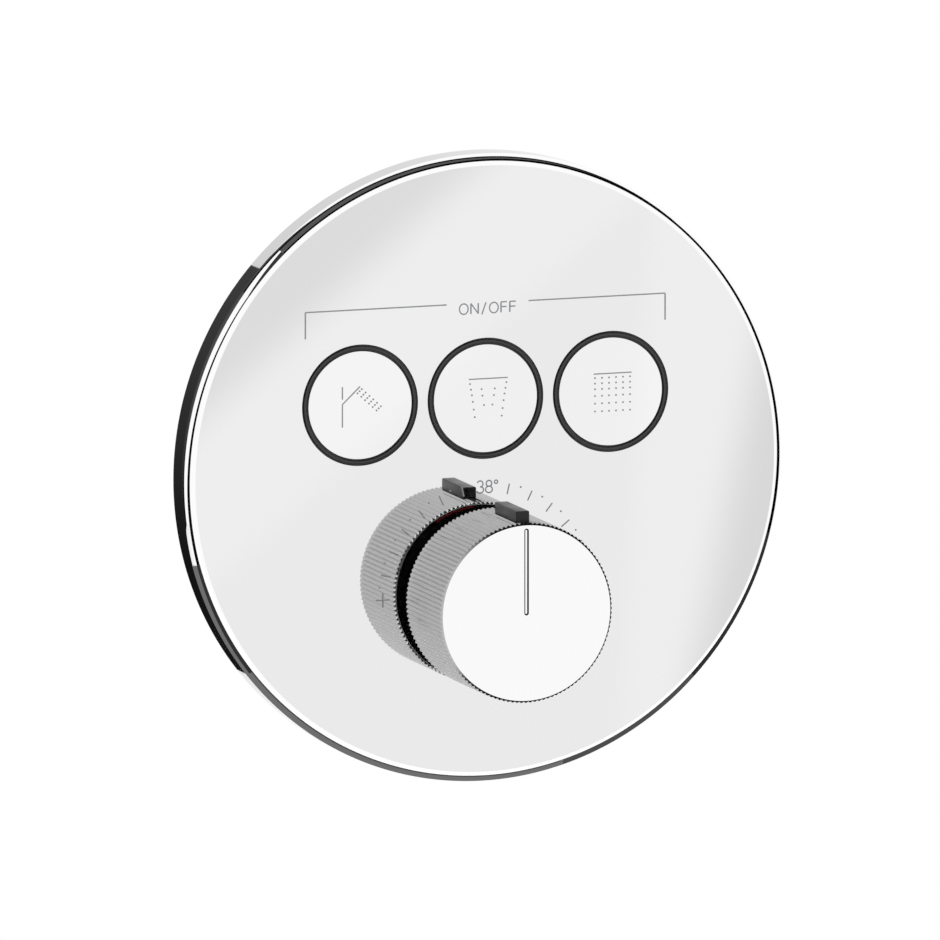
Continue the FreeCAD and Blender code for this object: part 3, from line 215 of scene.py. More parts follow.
def moulded_plastic(tree, tone, roughness, grain_mm, relief, shine=0.5):
    """Injection-moulded plastic: an even colour with the fine grain of the tool's surface."""
    place = add_node(tree, "ShaderNodeTexCoord").outputs["Object"]
    grain = add_node(tree, "ShaderNodeTexNoise",
                     {"Vector": place, "Detail": 3.0,
                      "Scale": 1.0 / (grain_mm * MM)})
    mottle = add_node(tree, "ShaderNodeTexNoise", {"Vector": place, "Scale": 90.0, "Detail": 1.0})
    rough = add_node(tree, "ShaderNodeMapRange",
                     {"Value": mottle.outputs["Fac"], "From Min": 0.3, "From Max": 0.7,
                      "To Min": roughness - 0.04, "To Max": roughness + 0.04})
    bump = add_node(tree, "ShaderNodeBump",
                    {"Strength": relief, "Distance": 0.00004, "Height": grain.outputs["Fac"]})
    return add_node(tree, "ShaderNodeBsdfPrincipled",
                    {"Base Color": [*tone, 1.0], "Roughness": rough.outputs["Result"],
                     "IOR": 1.5, "Specular IOR Level": shine, "Normal": bump.outputs["Normal"]})


def soft_foam(tree, tone):
    """Closed-cell foam rubber: dull and dark, with open cut cells about half a millimetre wide."""
    place = add_node(tree, "ShaderNodeTexCoord").outputs["Object"]
    cells = add_node(tree, "ShaderNodeTexVoronoi", {"Vector": place, "Scale": 2200.0})
    # Painted shade: the colour darkens into each cell's hollow, where the bump sinks, and lightens
    # on its walls.
    shade = add_node(tree, "ShaderNodeMix",
                     {"Factor": cells.outputs["Distance"], "A": [*tone, 1.0],
                      "B": [c * 1.7 for c in tone] + [1.0]}, data_type="RGBA")
    bump = add_node(tree, "ShaderNodeBump",
                    {"Strength": 0.5, "Distance": 0.0002, "Height": cells.outputs["Distance"]})
    return add_node(tree, "ShaderNodeBsdfPrincipled",
                    {"Base Color": shade.outputs["Result"], "Roughness": 0.85,
                     "Normal": bump.outputs["Normal"]})


def rough_metal(tree, low, high, roughness, grain_mm, relief):
    """Metal left as cast, turned or plated: its tone drifts and its grain catches the light."""
    place = add_node(tree, "ShaderNodeTexCoord").outputs["Object"]
    drift = add_node(tree, "ShaderNodeTexNoise", {"Vector": place, "Scale": 60.0, "Detail": 4.0})
    grain = add_node(tree, "ShaderNodeTexNoise",
                     {"Vector": place, "Detail": 4.0,
                      "Scale": 1.0 / (grain_mm * MM)})
    tone = add_node(tree, "ShaderNodeMix",
                    {"Factor": drift.outputs["Fac"], "A": low, "B": high}, data_type="RGBA")
    rough = add_node(tree, "ShaderNodeMapRange",
                     {"Value": grain.outputs["Fac"], "From Min": 0.3, "From Max": 0.7,
                      "To Min": roughness - 0.07, "To Max": roughness + 0.07})
    bump = add_node(tree, "ShaderNodeBump",
                    {"Strength": relief, "Distance": 0.0001, "Height": grain.outputs["Fac"]})
    return add_node(tree, "ShaderNodeBsdfPrincipled",
                    {"Base Color": tone.outputs["Result"], "Metallic": 1.0,
                     "Roughness": rough.outputs["Result"], "Normal": bump.outputs["Normal"]})


def printed_ink(tree, tone):
    """Pad-printed ink: a thin satin film, a little uneven in its cover."""
    place = add_node(tree, "ShaderNodeTexCoord").outputs["Object"]
    cover = add_node(tree, "ShaderNodeTexNoise", {"Vector": place, "Scale": 4000.0, "Detail": 1.0})
    shade = add_node(tree, "ShaderNodeMix",
                     {"Factor": cover.outputs["Fac"], "A": [c * 0.9 for c in tone] + [1.0],
                      "B": [min(c * 1.1, 1.0) for c in tone] + [1.0]}, data_type="RGBA")
    return add_node(tree, "ShaderNodeBsdfPrincipled",
                    {"Base Color": shade.outputs["Result"], "Roughness": 0.5,
                     "Specular IOR Level": 0.2})


@functools.cache
def finish(name):
    """The material of one finish, made once, from the table that names it."""
    scene = bpy.context.scene
    plate, button = scene.valve_plate, scene.valve_button
    knob, prints = scene.valve_knob, scene.valve_print
    tables = {
        # Chrome plating, in copies whose tones are painted light and shade: each is what that face
        # sends back.
        polished_chrome: {
            "chrome_face": (plate.face,),
            "chrome_bead_painted_highlight": (plate.bead,),
            "chrome_wall_painted_shade": (plate.wall,),
            "chrome_button": (button.face,),
            "chrome_knob_face": (knob.face,),
            # Satin chrome on the turned ribs: soft, so no sharp picture shows in it; its darker
            # tone is painted shade.
            "chrome_ribs_painted_shade": (knob.side, 0.17, 0.22),
        },
        # The knob's cut edges: a painted reflection, near black with a lighter left.
        painted_reflection_chrome: {"crown_painted_reflection": (knob.crown, knob.side)},
        # Tone, roughness, grain in millimetres, relief and shine.
        moulded_plastic: {
            # Spark-eroded ABS: black, with a soft sheen along its edges.
            "black_abs": (knob.lever, 0.3, 0.12, 0.15, 0.3),
            # Smooth black elastomer round the buttons: a clear highlight on its rounded top.
            "ring_tpe": (button.rubber, 0.28, 0.2, 0.05),
            # Natural acetal: waxy off-white, smooth from the tool.
            "acetal": (linear("#E4E2DA")[:3], 0.38, 0.3, 0.1),
            # Black EPDM rubber, matt from its talc.
            "epdm": (linear("#17171A")[:3], 0.6, 0.15, 0.2),
        },
        soft_foam: {"foam": (linear("#1A1A1B")[:3],)},
        # Darkest and lightest tone, roughness, grain in millimetres and relief.
        rough_metal: {
            # Dezincification-resistant brass, sand cast and shot blasted: a dull warm grain.
            "cast_brass": (linear("#B5985C"), linear("#CDB074"), 0.42, 0.45, 0.6),
            # Free-cutting brass, bright from the lathe.
            "turned_brass": (linear("#D2B56C"), linear("#E2C984"), 0.22, 0.2, 0.15),
            # Stainless spring wire: clean grey.
            "spring_steel": (linear("#A6A8AB"), linear("#BEC0C2"), 0.25, 0.1, 0.1),
            # Zinc-plated sheet steel with a thin blue passivation.
            "zinc_steel": (linear("#A9AEB3"), linear("#C4C7C8"), 0.33, 0.6, 0.25),
            # Drawn copper, a little dulled.
            "copper": (linear("#B87552"), linear("#C98A66"), 0.3, 0.2, 0.15),
        },
        printed_ink: {"print_grey": (prints.ink,), "print_red": (prints.red,)},
    }
    for make, table in tables.items():
        if name in table:
            return new_material(name, make, *table[name])
    raise RuntimeError("no finish is called " + name)


# The slots whose finish has another name.
SLOT_FINISH = {"polished_chrome": "chrome_face", "black_trim": "black_abs",
               "seal_foam": "foam", "cartridge_plastic": "acetal", "rubber": "epdm"}


# ---- shaping

def ellipse(cx, cz, rx, rz, start=0.0, end=360.0, steps=20):
    """Points (x, z) along an ellipse; angles in degrees from +X towards +Z."""
    turns = [math.radians(start + (end - start) * i / steps) for i in range(steps + 1)]
    return [(cx + rx * math.cos(t), cz + rz * math.sin(t)) for t in turns]


def rounding(cx, cy, radius, start, end, steps):
    """Points (radius, y) along an arc; 0 degrees is outwards and 90 backwards."""
    return ellipse(cx, cy, radius, radius, start, end, steps)


def add_ring(bm, radius, y, centre, segments):
    """A circle of edges across Y."""
    place = Matrix.Translation((centre[0], y, centre[1])) @ ACROSS_Y
    made = bmesh.ops.create_circle(bm, cap_ends=False, radius=radius, segments=segments,
                                   matrix=place)
    rim = set(made["verts"])
    return [e for e in bm.edges if rim.issuperset(e.verts)]


def spin_outline(bm, profile, centre, segments, closed=False):
    """Spin (radius, y) points about the axis along Y through centre."""
    verts = [bm.verts.new((centre[0] + radius, y, centre[1])) for radius, y in profile]
    edges = [bm.edges.new(pair) for pair in zip(verts, verts[1:])]
    if closed:
        edges.append(bm.edges.new((verts[-1], verts[0])))
    bmesh.ops.spin(bm, geom=verts + edges, cent=(centre[0], 0, centre[1]), axis=(0, 1, 0),
                   angle=math.tau, steps=segments, use_merge=True)


def kind_of(face):
    """Flat across Y, straight along Y, or neither."""
    lean = abs(face.normal.y)
    return 2 if lean > 0.9999 else 1 if lean < 0.001 else 0


def smooth_faces(bm, limit=35.0):
    """Join what meets, face it outwards and shade it smooth, but true on flat faces."""
    bmesh.ops.remove_doubles(bm, verts=bm.verts, dist=2e-7)
    bmesh.ops.dissolve_degenerate(bm, dist=1e-8, edges=bm.edges)
    bmesh.ops.recalc_face_normals(bm, faces=bm.faces)
    bm.normal_update()
    for face in bm.faces:
        face.smooth = True
    for edge in bm.edges:
        if len(edge.link_faces) == 2:
            one, other = edge.link_faces
            alike = kind_of(one) == kind_of(other)
            edge.smooth = alike and edge.calc_face_angle(0.0) < math.radians(limit)


def put_object(name, bm, *materials):
    """Put a finished bmesh in the scene as an object."""
    mesh = bpy.data.meshes.new(name)
    bm.to_mesh(mesh)
    bm.free()
    for material in materials:
        mesh.materials.append(material)
    thing = bpy.data.objects.new(name, mesh)
    bpy.context.scene.collection.objects.link(thing)
    return thing


def make_piece(bm, name, body, slot, nodes, *finishes):
    """Put a finished bmesh in the scene as a piece that rides on a body."""
    piece = put_object(name, bm, *map(finish, finishes))
    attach(piece, body)
    if nodes:
        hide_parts(*nodes)
    return piece


# ---- cover plate

HOLE_RADIUS = 0.01927
KNOB_HOLE_RADIUS = 0.0140
HOLE_BEVEL = 0.0001
EDGE_BREAK = 0.0002


def plate_profile(settings):
    """The rim from the flat face, over its rounded edge, to the back of the front wall."""
    radius, edge, gauge = settings.radius, settings.edge, settings.gauge
    inner = radius - gauge
    back = FACE_Y + gauge
    rim = PLATE_HIGH.y
    fillet = 0.0008
    profile = [(radius - edge, FACE_Y)]
    profile += rounding(radius - edge, FACE_Y + edge, edge, -90, 0, 20)[1:]
    profile += [(radius, rim - EDGE_BREAK), (radius - EDGE_BREAK, rim), (inner, rim),
                (inner, back + fillet)]
    profile += rounding(inner - fillet, back + fillet, fillet, 0, -90, 4)[1:]
    return profile


class VALVE_OT_plate(bpy.types.Operator):
    """Make the cover plate with its rounded edge and four holes"""
    bl_idname = "valve.plate"
    bl_label = "Cover plate"

    def execute(self, context):
        settings = context.scene.valve_plate
        bm = bmesh.new()
        profile = plate_profile(settings)
        segments = settings.segments
        holes = [((x, BUTTON_Z), HOLE_RADIUS) for x in SITES.values()]
        holes.append((KNOB_CENTRE, KNOB_HOLE_RADIUS))
        back = FACE_Y + settings.gauge
        for y, rim, bevel in ((FACE_Y, profile[0][0], HOLE_BEVEL), (back, profile[-1][0], 0.0)):
            loops = add_ring(bm, rim, y, (0.0, 0.0), segments)
            for centre, radius in holes:
                loops += add_ring(bm, radius + bevel, y, centre, 128)
            bmesh.ops.triangle_fill(bm, use_beauty=True, use_dissolve=False, edges=loops)
        spin_outline(bm, profile, (0.0, 0.0), segments)
        for centre, radius in holes:
            wall = rounding(radius + HOLE_BEVEL, FACE_Y + HOLE_BEVEL, HOLE_BEVEL, 270, 180, 3)
            spin_outline(bm, wall + [(radius, back)], centre, 128)
        smooth_faces(bm)
        # The rim takes the bead's painted highlight, and its straight side wall the wall's painted
        # shade.
        for face in bm.faces:
            middle = face.calc_center_median()
            reach = math.hypot(middle.x, middle.z)
            if reach > profile[0][0]:
                face.material_index = 2 if abs(face.normal.y) < 0.001 else 1
        make_piece(bm, "cover_plate", "valve", "polished_chrome", ["faceplate"],
                   "chrome_face", "chrome_bead_painted_highlight", "chrome_wall_painted_shade")
        return {"FINISHED"}


# ---- push buttons

def cap_profile(settings):
    """A button's cap: flat face, softly rounded edge, skirt and boss."""
    radius, edge = settings.radius, settings.edge
    skirt = CAP_HIGH.y
    inside, ceiling = radius - 0.0015, FACE_Y + 0.0018
    boss, bore, boss_end, bore_end = 0.005, 0.00305, skirt - 0.0005, FACE_Y + 0.0023
    profile = [(0.0, FACE_Y), (radius - edge, FACE_Y)]
    profile += rounding(radius - edge, FACE_Y + edge, edge, -90, 0, 5)[1:]
    profile += [(radius, skirt - EDGE_BREAK), (radius - EDGE_BREAK, skirt), (inside, skirt),
                (inside, ceiling), (boss, ceiling), (boss, boss_end), (bore, boss_end),
                (bore, bore_end), (0.0, bore_end)]
    return profile


def ring_profile(settings):
    """The ring round a button: a proud band, a lip on each side of it and a flange behind."""
    outer, inner = settings.ring, settings.radius + 0.0006
    corner, fit = 0.0003, 0.00005
    hole, bore = HOLE_RADIUS - fit, settings.radius + fit
    step, front, rear, back = FACE_Y + 0.0010, FACE_Y + 0.0020, FACE_Y + 0.0031, RING_HIGH.y
    flange = (RING_HIGH.x - RING_LOW.x) / 2
    return (rounding(inner + corner, FACE_Y + corner, corner, 180, 270, 5)
            + rounding(outer - corner, FACE_Y + corner, corner, 270, 360, 5)
            + [(outer, step), (hole, step), (hole, front), (flange, front), (flange, rear),
               (outer, rear), (outer, back), (bore, back), (bore, step), (inner, step)])


BUTTON_STROKE = 0.0041
COIL_TURNS = 3
COIL_WIRE = 0.0003


def wind_coil(bm, centre, radius, wire, start, end):
    """Wind a round wire about the axis along Y, from start to end."""
    place = Matrix.Translation((centre[0] + radius, start + wire, centre[1]))
    made = bmesh.ops.create_circle(bm, cap_ends=True, radius=wire, segments=8,
                                   matrix=place)["verts"]
    steps = COIL_TURNS * 32
    rise = (end - start - 2 * wire) / steps
    around = {e for v in made for e in v.link_edges} | {f for v in made for f in v.link_faces}
    bmesh.ops.spin(bm, geom=made + list(around), cent=(centre[0], 0, centre[1]), axis=(0, 1, 0),
                   dvec=(0, rise, 0), angle=math.radians(360 * COIL_TURNS), steps=steps)


class VALVE_OT_buttons(bpy.types.Operator):
    """Make the three button caps, the dark rings round them and the springs behind them"""
    bl_idname = "valve.buttons"
    bl_label = "Buttons and rings"

    def execute(self, context):
        settings = context.scene.valve_button
        for side, x in SITES.items():
            centre = (x, BUTTON_Z)
            bm = bmesh.new()
            spin_outline(bm, cap_profile(settings), centre, 128)
            smooth_faces(bm)
            make_piece(bm, "button_face_" + side, "button_" + side, "polished_chrome",
                       ["button_cap_" + side], "chrome_button")
            bm = bmesh.new()
            spin_outline(bm, ring_profile(settings), centre, 128, closed=True)
            smooth_faces(bm)
            make_piece(bm, "button_surround_" + side, "valve", "black_trim",
                       ["button_ring_" + side], "ring_tpe")
            # The spring is shown as short as the pressed button leaves it.
            bm = bmesh.new()
            low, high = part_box("button_spring_" + side)
            wind_coil(bm, centre, (high.x - low.x) / 2 - COIL_WIRE, COIL_WIRE,
                      low.y + BUTTON_STROKE, high.y)
            smooth_faces(bm, 60.0)
            make_piece(bm, "button_coil_" + side, "valve", "spring_steel",
                       ["button_spring_" + side], "spring_steel")
        return {"FINISHED"}


# ---- temperature knob

GROOVE_WIDTH = 0.0015
GROOVE_FLOOR = 0.0006
GROOVE_REACH = 0.0269
GROOVE_DEPTH = 0.00035
SLEEVE_WALL = 0.0019
SLEEVE_FRONT = 0.0025
REAR_BREAK = 0.0003
LEVER_HALF = 0.0022
LEVER_ROOM = 0.0003
# Square metres: the lever's bevel strips are smaller than this, and its flats are larger.
BROAD_AREA = 1.2e-6
GRUB_HOLE_Y = -0.0376
GRUB_HOLE_RADIUS = 0.0026


def rib_outline(bm, settings, y):
    """The ribs' closed outline across Y: one rib of four points, spun round as copies."""
    pitch = math.tau / settings.ribs
    valley, crest = settings.crest - settings.depth, settings.crest - 0.00002
    shape = [(-0.5, valley), (-0.09, crest), (0.09, crest), (0.5, valley)]
    verts = []
    for part, radius in shape:
        turn = part * pitch
        verts.append(bm.verts.new((radius * math.sin(turn), y,
                                   KNOB_Z + radius * math.cos(turn))))
    edges = [bm.edges.new(pair) for pair in zip(verts, verts[1:])]
    before = set(bm.verts) - set(verts)
    bmesh.ops.spin(bm, geom=verts + edges, cent=(0, 0, KNOB_Z), axis=(0, 1, 0),
                   angle=math.tau - pitch, steps=settings.ribs - 1, use_duplicate=True)
    ring = [v for v in bm.verts if v not in before]
    bmesh.ops.remove_doubles(bm, verts=ring, dist=1e-6)
    return [e for e in bm.edges if all(v not in before for v in e.verts)]


def extrude_ring(bm, edges, move):
    """Extrude a ring of edges and give each new point its place; returns the new ring."""
    made = bmesh.ops.extrude_edge_only(bm, edges=edges)["geom"]
    for vert in [g for g in made if isinstance(g, bmesh.types.BMVert)]:
        vert.co = move(vert.co)
    return [g for g in made if isinstance(g, bmesh.types.BMEdge)]


def from_axis(point):
    """The distance of a point from the knob's axis."""
    return math.hypot(point.x, point.z - KNOB_Z)


def to_radius(point, radius, y):
    """The point moved to a radius from the knob's axis and to a place along it."""
    flat = Vector((point.x, 0.0, point.z - KNOB_Z)).normalized() * radius
    return Vector((flat.x, y, KNOB_Z + flat.z))


def groove_ring(bm, y, half):
    """The outline of the pointer groove, a slot with round ends, across Y."""
    top = KNOB_Z + GROOVE_REACH - GROOVE_WIDTH / 2
    points = ellipse(0.0, KNOB_Z, half, half, 180, 360, 8)
    points += ellipse(0.0, top, half, half, 0, 180, 8)
    verts = [bm.verts.new((x, y, z)) for x, z in points]
    return [bm.edges.new(pair) for pair in zip(verts, verts[1:] + verts[:1])]


class VALVE_OT_knob(bpy.types.Operator):
    """Make the ribbed sleeve of the temperature knob with its pointer groove"""
    bl_idname = "valve.knob"
    bl_label = "Knob sleeve"

    def execute(self, context):
        settings = context.scene.valve_knob
        bm = bmesh.new()
        front, back = KNOB_LOW.y, KNOB_HIGH.y
        valley = settings.crest - settings.depth
        face_radius, bore = valley - 0.0003, valley - SLEEVE_WALL
        outline = rib_outline(bm, settings, 0.0)
        centre = Vector((0.0, 0.0, KNOB_Z))
        for vert in {v for e in outline for v in e.verts}:
            vert.co.y = front + (vert.co - centre).length - face_radius
        crown = extrude_ring(bm, outline, lambda p: to_radius(p, face_radius, front))
        rear = extrude_ring(bm, outline, lambda p: Vector((p.x, back - REAR_BREAK, p.z)))
        rear = extrude_ring(bm, rear, lambda p: to_radius(p, from_axis(p) - REAR_BREAK, back))
        rear = extrude_ring(bm, rear, lambda p: to_radius(p, bore, back))
        inside = extrude_ring(bm, rear, lambda p: to_radius(p, bore, front + SLEEVE_FRONT))
        bmesh.ops.contextual_create(bm, geom=inside)
        groove = groove_ring(bm, front, GROOVE_WIDTH / 2)
        bmesh.ops.triangle_fill(bm, use_beauty=True, use_dissolve=False, edges=crown + groove)
        floor = groove_ring(bm, front + GROOVE_DEPTH, GROOVE_FLOOR / 2)
        bmesh.ops.bridge_loops(bm, edges=groove + floor)
        bmesh.ops.contextual_create(bm, geom=floor)
        smooth_faces(bm, 24.0)
        # The ribbed side takes the ribs' painted shade, and the slanting cut edges the crown's
        # painted reflection.
        for face in bm.faces:
            middle = face.calc_center_median()
            if from_axis(middle) > bore + 0.0008 and kind_of(face) == 1:
                face.material_index = 1
            elif kind_of(face) == 0 and face.normal.y < 0:
                face.material_index = 2
        sleeve = make_piece(bm, "knob_ribbed_sleeve", "knob", "polished_chrome", ["knob_sleeve"],
                            "chrome_knob_face", "chrome_ribs_painted_shade", "crown_painted_reflection")
        cut_lever_slot(sleeve)
        return {"FINISHED"}


def cut_lever_slot(sleeve):
    """Open the sleeve's wall for the lever and for the grub screw under it."""
    bm = bmesh.new()
    low, top = KNOB_Z + 0.022, KNOB_HIGH.z + 0.002
    start, end = LEVER_LOW.y - LEVER_ROOM, LEVER_HIGH.y + LEVER_ROOM
    place = Matrix.Translation((0, (start + end) / 2, (top + low) / 2))
    size = Matrix.Diagonal((2 * (LEVER_HALF + LEVER_ROOM), end - start, top - low, 1.0))
    bmesh.ops.create_cube(bm, size=1.0, matrix=place @ size)
    hole = Matrix.Translation((0, GRUB_HOLE_Y, KNOB_Z - 0.027))
    bmesh.ops.create_cone(bm, cap_ends=True, segments=32, radius1=GRUB_HOLE_RADIUS,
                          radius2=GRUB_HOLE_RADIUS, depth=0.006, matrix=hole)
    tool = put_object("lever_slot_tool", bm)
    opening = sleeve.modifiers.new("lever_slot", "BOOLEAN")
    opening.operation = "DIFFERENCE"
    opening.solver = "EXACT"
    opening.object = tool
    graph = bpy.context.evaluated_depsgraph_get()
    cut = bpy.data.meshes.new_from_object(sleeve.evaluated_get(graph))
    sleeve.modifiers.clear()
    old = sleeve.data
    sleeve.data = cut
    bpy.data.meshes.remove(old)
    bpy.data.objects.remove(tool)


class VALVE_OT_lever(bpy.types.Operator):
    """Make the safety lever on top of the knob, and the collar behind the knob"""
    bl_idname = "valve.lever"
    bl_label = "Lever and collar"

    def execute(self, context):
        bm = bmesh.new()
        foot, flange_top = KNOB_Z + 0.0180, KNOB_Z + 0.0245
        flange_low = flange_top - 0.0020
        front, back, pawl_front = LEVER_LOW.y, LEVER_HIGH.y, -0.0285
        parts = [(LEVER_HALF, front, flange_low, LEVER_HIGH.z, 0.0004),
                 (0.0034, front, flange_low, flange_top, 0.0002),
                 (LEVER_HALF, pawl_front, foot, flange_low + 0.0005, 0.0002)]
        for half, start, low, high, edge in parts:
            place = Matrix.Translation((0, (start + back) / 2, (low + high) / 2))
            size = Matrix.Diagonal((2 * half, back - start, high - low, 1.0))
            made = bmesh.ops.create_cube(bm, size=1.0, matrix=place @ size)["verts"]
            rim = {e for v in made for e in v.link_edges}
            bmesh.ops.bevel(bm, geom=list(rim), offset=edge, offset_type="OFFSET", segments=3,
                            profile=0.5, affect="EDGES", material=-1)
        for face in bm.faces:
            face.smooth = True
        bm.normal_update()
        for edge in bm.edges:
            if len(edge.link_faces) == 2:
                # Hard only where a narrow bevel strip meets a broad face.
                areas = sorted(f.calc_area() for f in edge.link_faces)
                edge.smooth = areas[1] < BROAD_AREA or areas[0] > BROAD_AREA
        make_piece(bm, "safety_lever_block", "safety_lever_body", "black_trim",
                   ["safety_lever"], "black_abs")
        bm = bmesh.new()
        bore, outer, neck = 0.0091, (COLLAR_HIGH.x - COLLAR_LOW.x) / 2, 0.0139
        front, back = COLLAR_LOW.y, COLLAR_HIGH.y
        profile = [(bore, front)] + rounding(outer - 0.0006, front + 0.0006, 0.0006, -90, 0, 5)
        profile += [(outer, FACE_Y), (neck, FACE_Y), (neck, back), (bore, back)]
        spin_outline(bm, profile, KNOB_CENTRE, 160, closed=True)
        smooth_faces(bm)
        make_piece(bm, "knob_base_collar", "valve", "black_trim", ["base_collar"], "black_abs")
        return {"FINISHED"}


# ---- printed marks

# Each sign: its width and its strokes, for a height of one; the small o is the degree sign.
SIGNS = {
    "O": (0.87, [ellipse(0.435, 0.50, 0.435, 0.50)]),
    "N": (0.73, [[(0, 0), (0, 1)], [(0, 1), (0.73, 0)], [(0.73, 0), (0.73, 1)]]),
    "F": (0.60, [[(0, 0), (0, 1)], [(0, 1), (0.60, 1)], [(0, 0.54), (0.56, 0.54)]]),
    "/": (0.57, [[(0.08, -0.10), (0.49, 1.04)]]),
    "3": (0.58, [ellipse(0.27, 0.75, 0.25, 0.25, 160, -90, 12),
                 ellipse(0.27, 0.26, 0.30, 0.26, 90, -160, 14)]),
    "8": (0.58, [ellipse(0.29, 0.76, 0.24, 0.24), ellipse(0.29, 0.27, 0.29, 0.27)]),
    "o": (0.30, [ellipse(0.16, 0.86, 0.14, 0.14, 0, 360, 12)]),
}


def lettering(signs, centre_x, low_z, height, gap):
    """Strokes of a row of signs, centred on centre_x."""
    width = sum(SIGNS[s][0] for s in signs) + gap * (len(signs) - 1)
    at = centre_x - width * height / 2
    strokes = []
    for sign in signs:
        step, lines = SIGNS[sign]
        for line in lines:
            strokes.append([(at + x * height, low_z + z * height) for x, z in line])
        at += (step + gap) * height
    return strokes


def draw_strokes(bm, strokes, width, rise, y):
    """Add flat ribs along the strokes, which lie in a plane across Y; all in metres."""
    curve = bpy.data.curves.new("strokes", "CURVE")
    curve.dimensions = "3D"
    curve.bevel_depth = width / 2
    curve.bevel_resolution = 1
    curve.use_fill_caps = True
    for points in strokes:
        closed = (Vector(points[0]) - Vector(points[-1])).length < 1e-7
        line = curve.splines.new("POLY")
        kept = points[:-1] if closed else points
        line.points.add(len(kept) - 1)
        for point, (x, z) in zip(line.points, kept):
            point.co = (x, 0.0, z, 1.0)
        line.use_cyclic_u = closed
    holder = bpy.data.objects.new("strokes", curve)
    bpy.context.scene.collection.objects.link(holder)
    graph = bpy.context.evaluated_depsgraph_get()
    mesh = bpy.data.meshes.new_from_object(holder.evaluated_get(graph))
    mesh.transform(Matrix.Translation((0, y, 0)) @ Matrix.Diagonal((1, 2 * rise / width, 1, 1)))
    bm.from_mesh(mesh)
    bpy.data.objects.remove(holder)
    bpy.data.curves.remove(curve)
    bpy.data.meshes.remove(mesh)


def draw_dots(bm, places, diameter, rise, y):
    """Add round dots on a plane across Y."""
    for x, z in places:
        place = Matrix.Translation((x, y - rise / 2, z)) @ ACROSS_Y
        bmesh.ops.create_cone(bm, cap_ends=True, segments=12, radius1=diameter / 2,
                              radius2=diameter / 2, depth=rise, matrix=place)


def scale_marks():
    """The temperature scale round the knob as strokes and dots, in metres."""
    cx, cz = KNOB_CENTRE
    step = 90.0 / 7
    tick, dot_reach = (32.4 * MM, 35.8 * MM), 35.6 * MM
    strokes, dots = [], []

    def at(radius, steps):
        turn = math.radians(90 - steps * step)
        return cx + radius * math.cos(turn), cz + radius * math.sin(turn)

    for side in (-1, 1):
        for i in range(1, 7):
            strokes.append([at(radius, side * i) for radius in tick])
            dots.append(at(dot_reach, side * (i + 0.5)))
    reach, half = 34.3 * MM, 2.4 * MM
    strokes.append([(cx - reach - half, cz), (cx - reach + half, cz)])
    strokes.append([(cx - reach, cz - half), (cx - reach, cz + half)])
    strokes.append([(cx + reach - half, cz), (cx + reach + half, cz)])
    strokes += lettering("38o", cx + 0.6 * MM, cz + 32.4 * MM, 3.9 * MM, 0.16)
    return strokes, dots


def bracket_marks():
    """The line over the buttons with the words ON/OFF in its gap."""
    z, middle = 52.9 * MM, 0.7 * MM
    reach, gap, drop = 60.0 * MM, 13.65 * MM, 8.5 * MM
    strokes = []
    for side in (-1, 1):
        end = side * reach
        strokes += [[(middle + side * gap, z), (end, z)], [(end, z), (end, z - drop)]]
    return strokes + lettering("ON/OFF", middle, z - 3.3 * MM, 3.35 * MM, 0.275)


def hand_shower_sign():
    """A rail with a hand shower and its spray, about the button's centre in millimetres."""
    strokes = [[(-5.9, 6.1), (-5.9, 2.1)], [(-5.9, -6.8), (-5.9, 0.5), (0.0, 6.0)]]
    dots = [(0.57 + 1.266 * i - 0.715 * j, 5.1 - 1.156 * i - 0.635 * j)
            for i in range(6) for j in range(3)]
    return strokes, dots


def body_spray_sign():
    """A line over four columns of drops that draw together."""
    strokes = [[(-5.6, 6.3), (7.4, 6.3)]]
    pairs = [(6.07 - 0.314 * i, z) for i, z in enumerate((4.8, 3.0, 1.2, -0.9, -3.4, -5.8))]
    pairs += [(2.2, 3.0), (1.9, 0.9), (1.4, -2.1)]
    dots = [(0.9 + side * half, z) for half, z in pairs for side in (-1, 1)]
    return strokes, dots


def overhead_sign():
    """A line over a square of drops that spread downwards."""
    strokes = [[(-5.7, 5.8), (7.0, 5.8)]]
    dots = [(-5.23 + 2.343 * i, z) for i in range(6)
            for z in (4.50, 2.76, 0.95, -1.22, -3.63, -6.15)]
    return strokes, dots


class VALVE_OT_prints(bpy.types.Operator):
    """Make the printed scale, the ON/OFF bracket, the buttons' signs and the red mark"""
    bl_idname = "valve.prints"
    bl_label = "Printed marks"

    def execute(self, context):
        settings = context.scene.valve_print
        bm = bmesh.new()
        strokes, dots = scale_marks()
        draw_strokes(bm, strokes + bracket_marks(), settings.line, settings.rise, FACE_Y)
        draw_dots(bm, dots, settings.dot, settings.rise, FACE_Y)
        make_piece(bm, "plate_print", "valve", "black_trim", [], "print_grey")
        signs = {"left": hand_shower_sign(), "middle": body_spray_sign(), "right": overhead_sign()}
        for side, sign in signs.items():
            bm = bmesh.new()
            # From millimetres about the button's centre to metres on the plate.
            *strokes, dots = [[(SITES[side] + x * MM, BUTTON_Z + z * MM) for x, z in points]
                              for points in (*sign[0], sign[1])]
            draw_strokes(bm, strokes, settings.fine, settings.rise, FACE_Y)
            draw_dots(bm, dots, settings.dot, settings.rise, FACE_Y)
            make_piece(bm, "button_sign_" + side, "button_" + side, "black_trim", [],
                       "print_grey")
        bm = bmesh.new()
        radius, width = 0.0273, 0.0007
        arc = ellipse(*KNOB_CENTRE, radius, radius, 94, 122, 16)
        draw_strokes(bm, [arc], width, settings.rise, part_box("knob_insert")[1].y)
        make_piece(bm, "knob_hot_mark", "knob", "black_trim", [], "print_red")
        return {"FINISHED"}


# ---- nodes that keep their frame shape

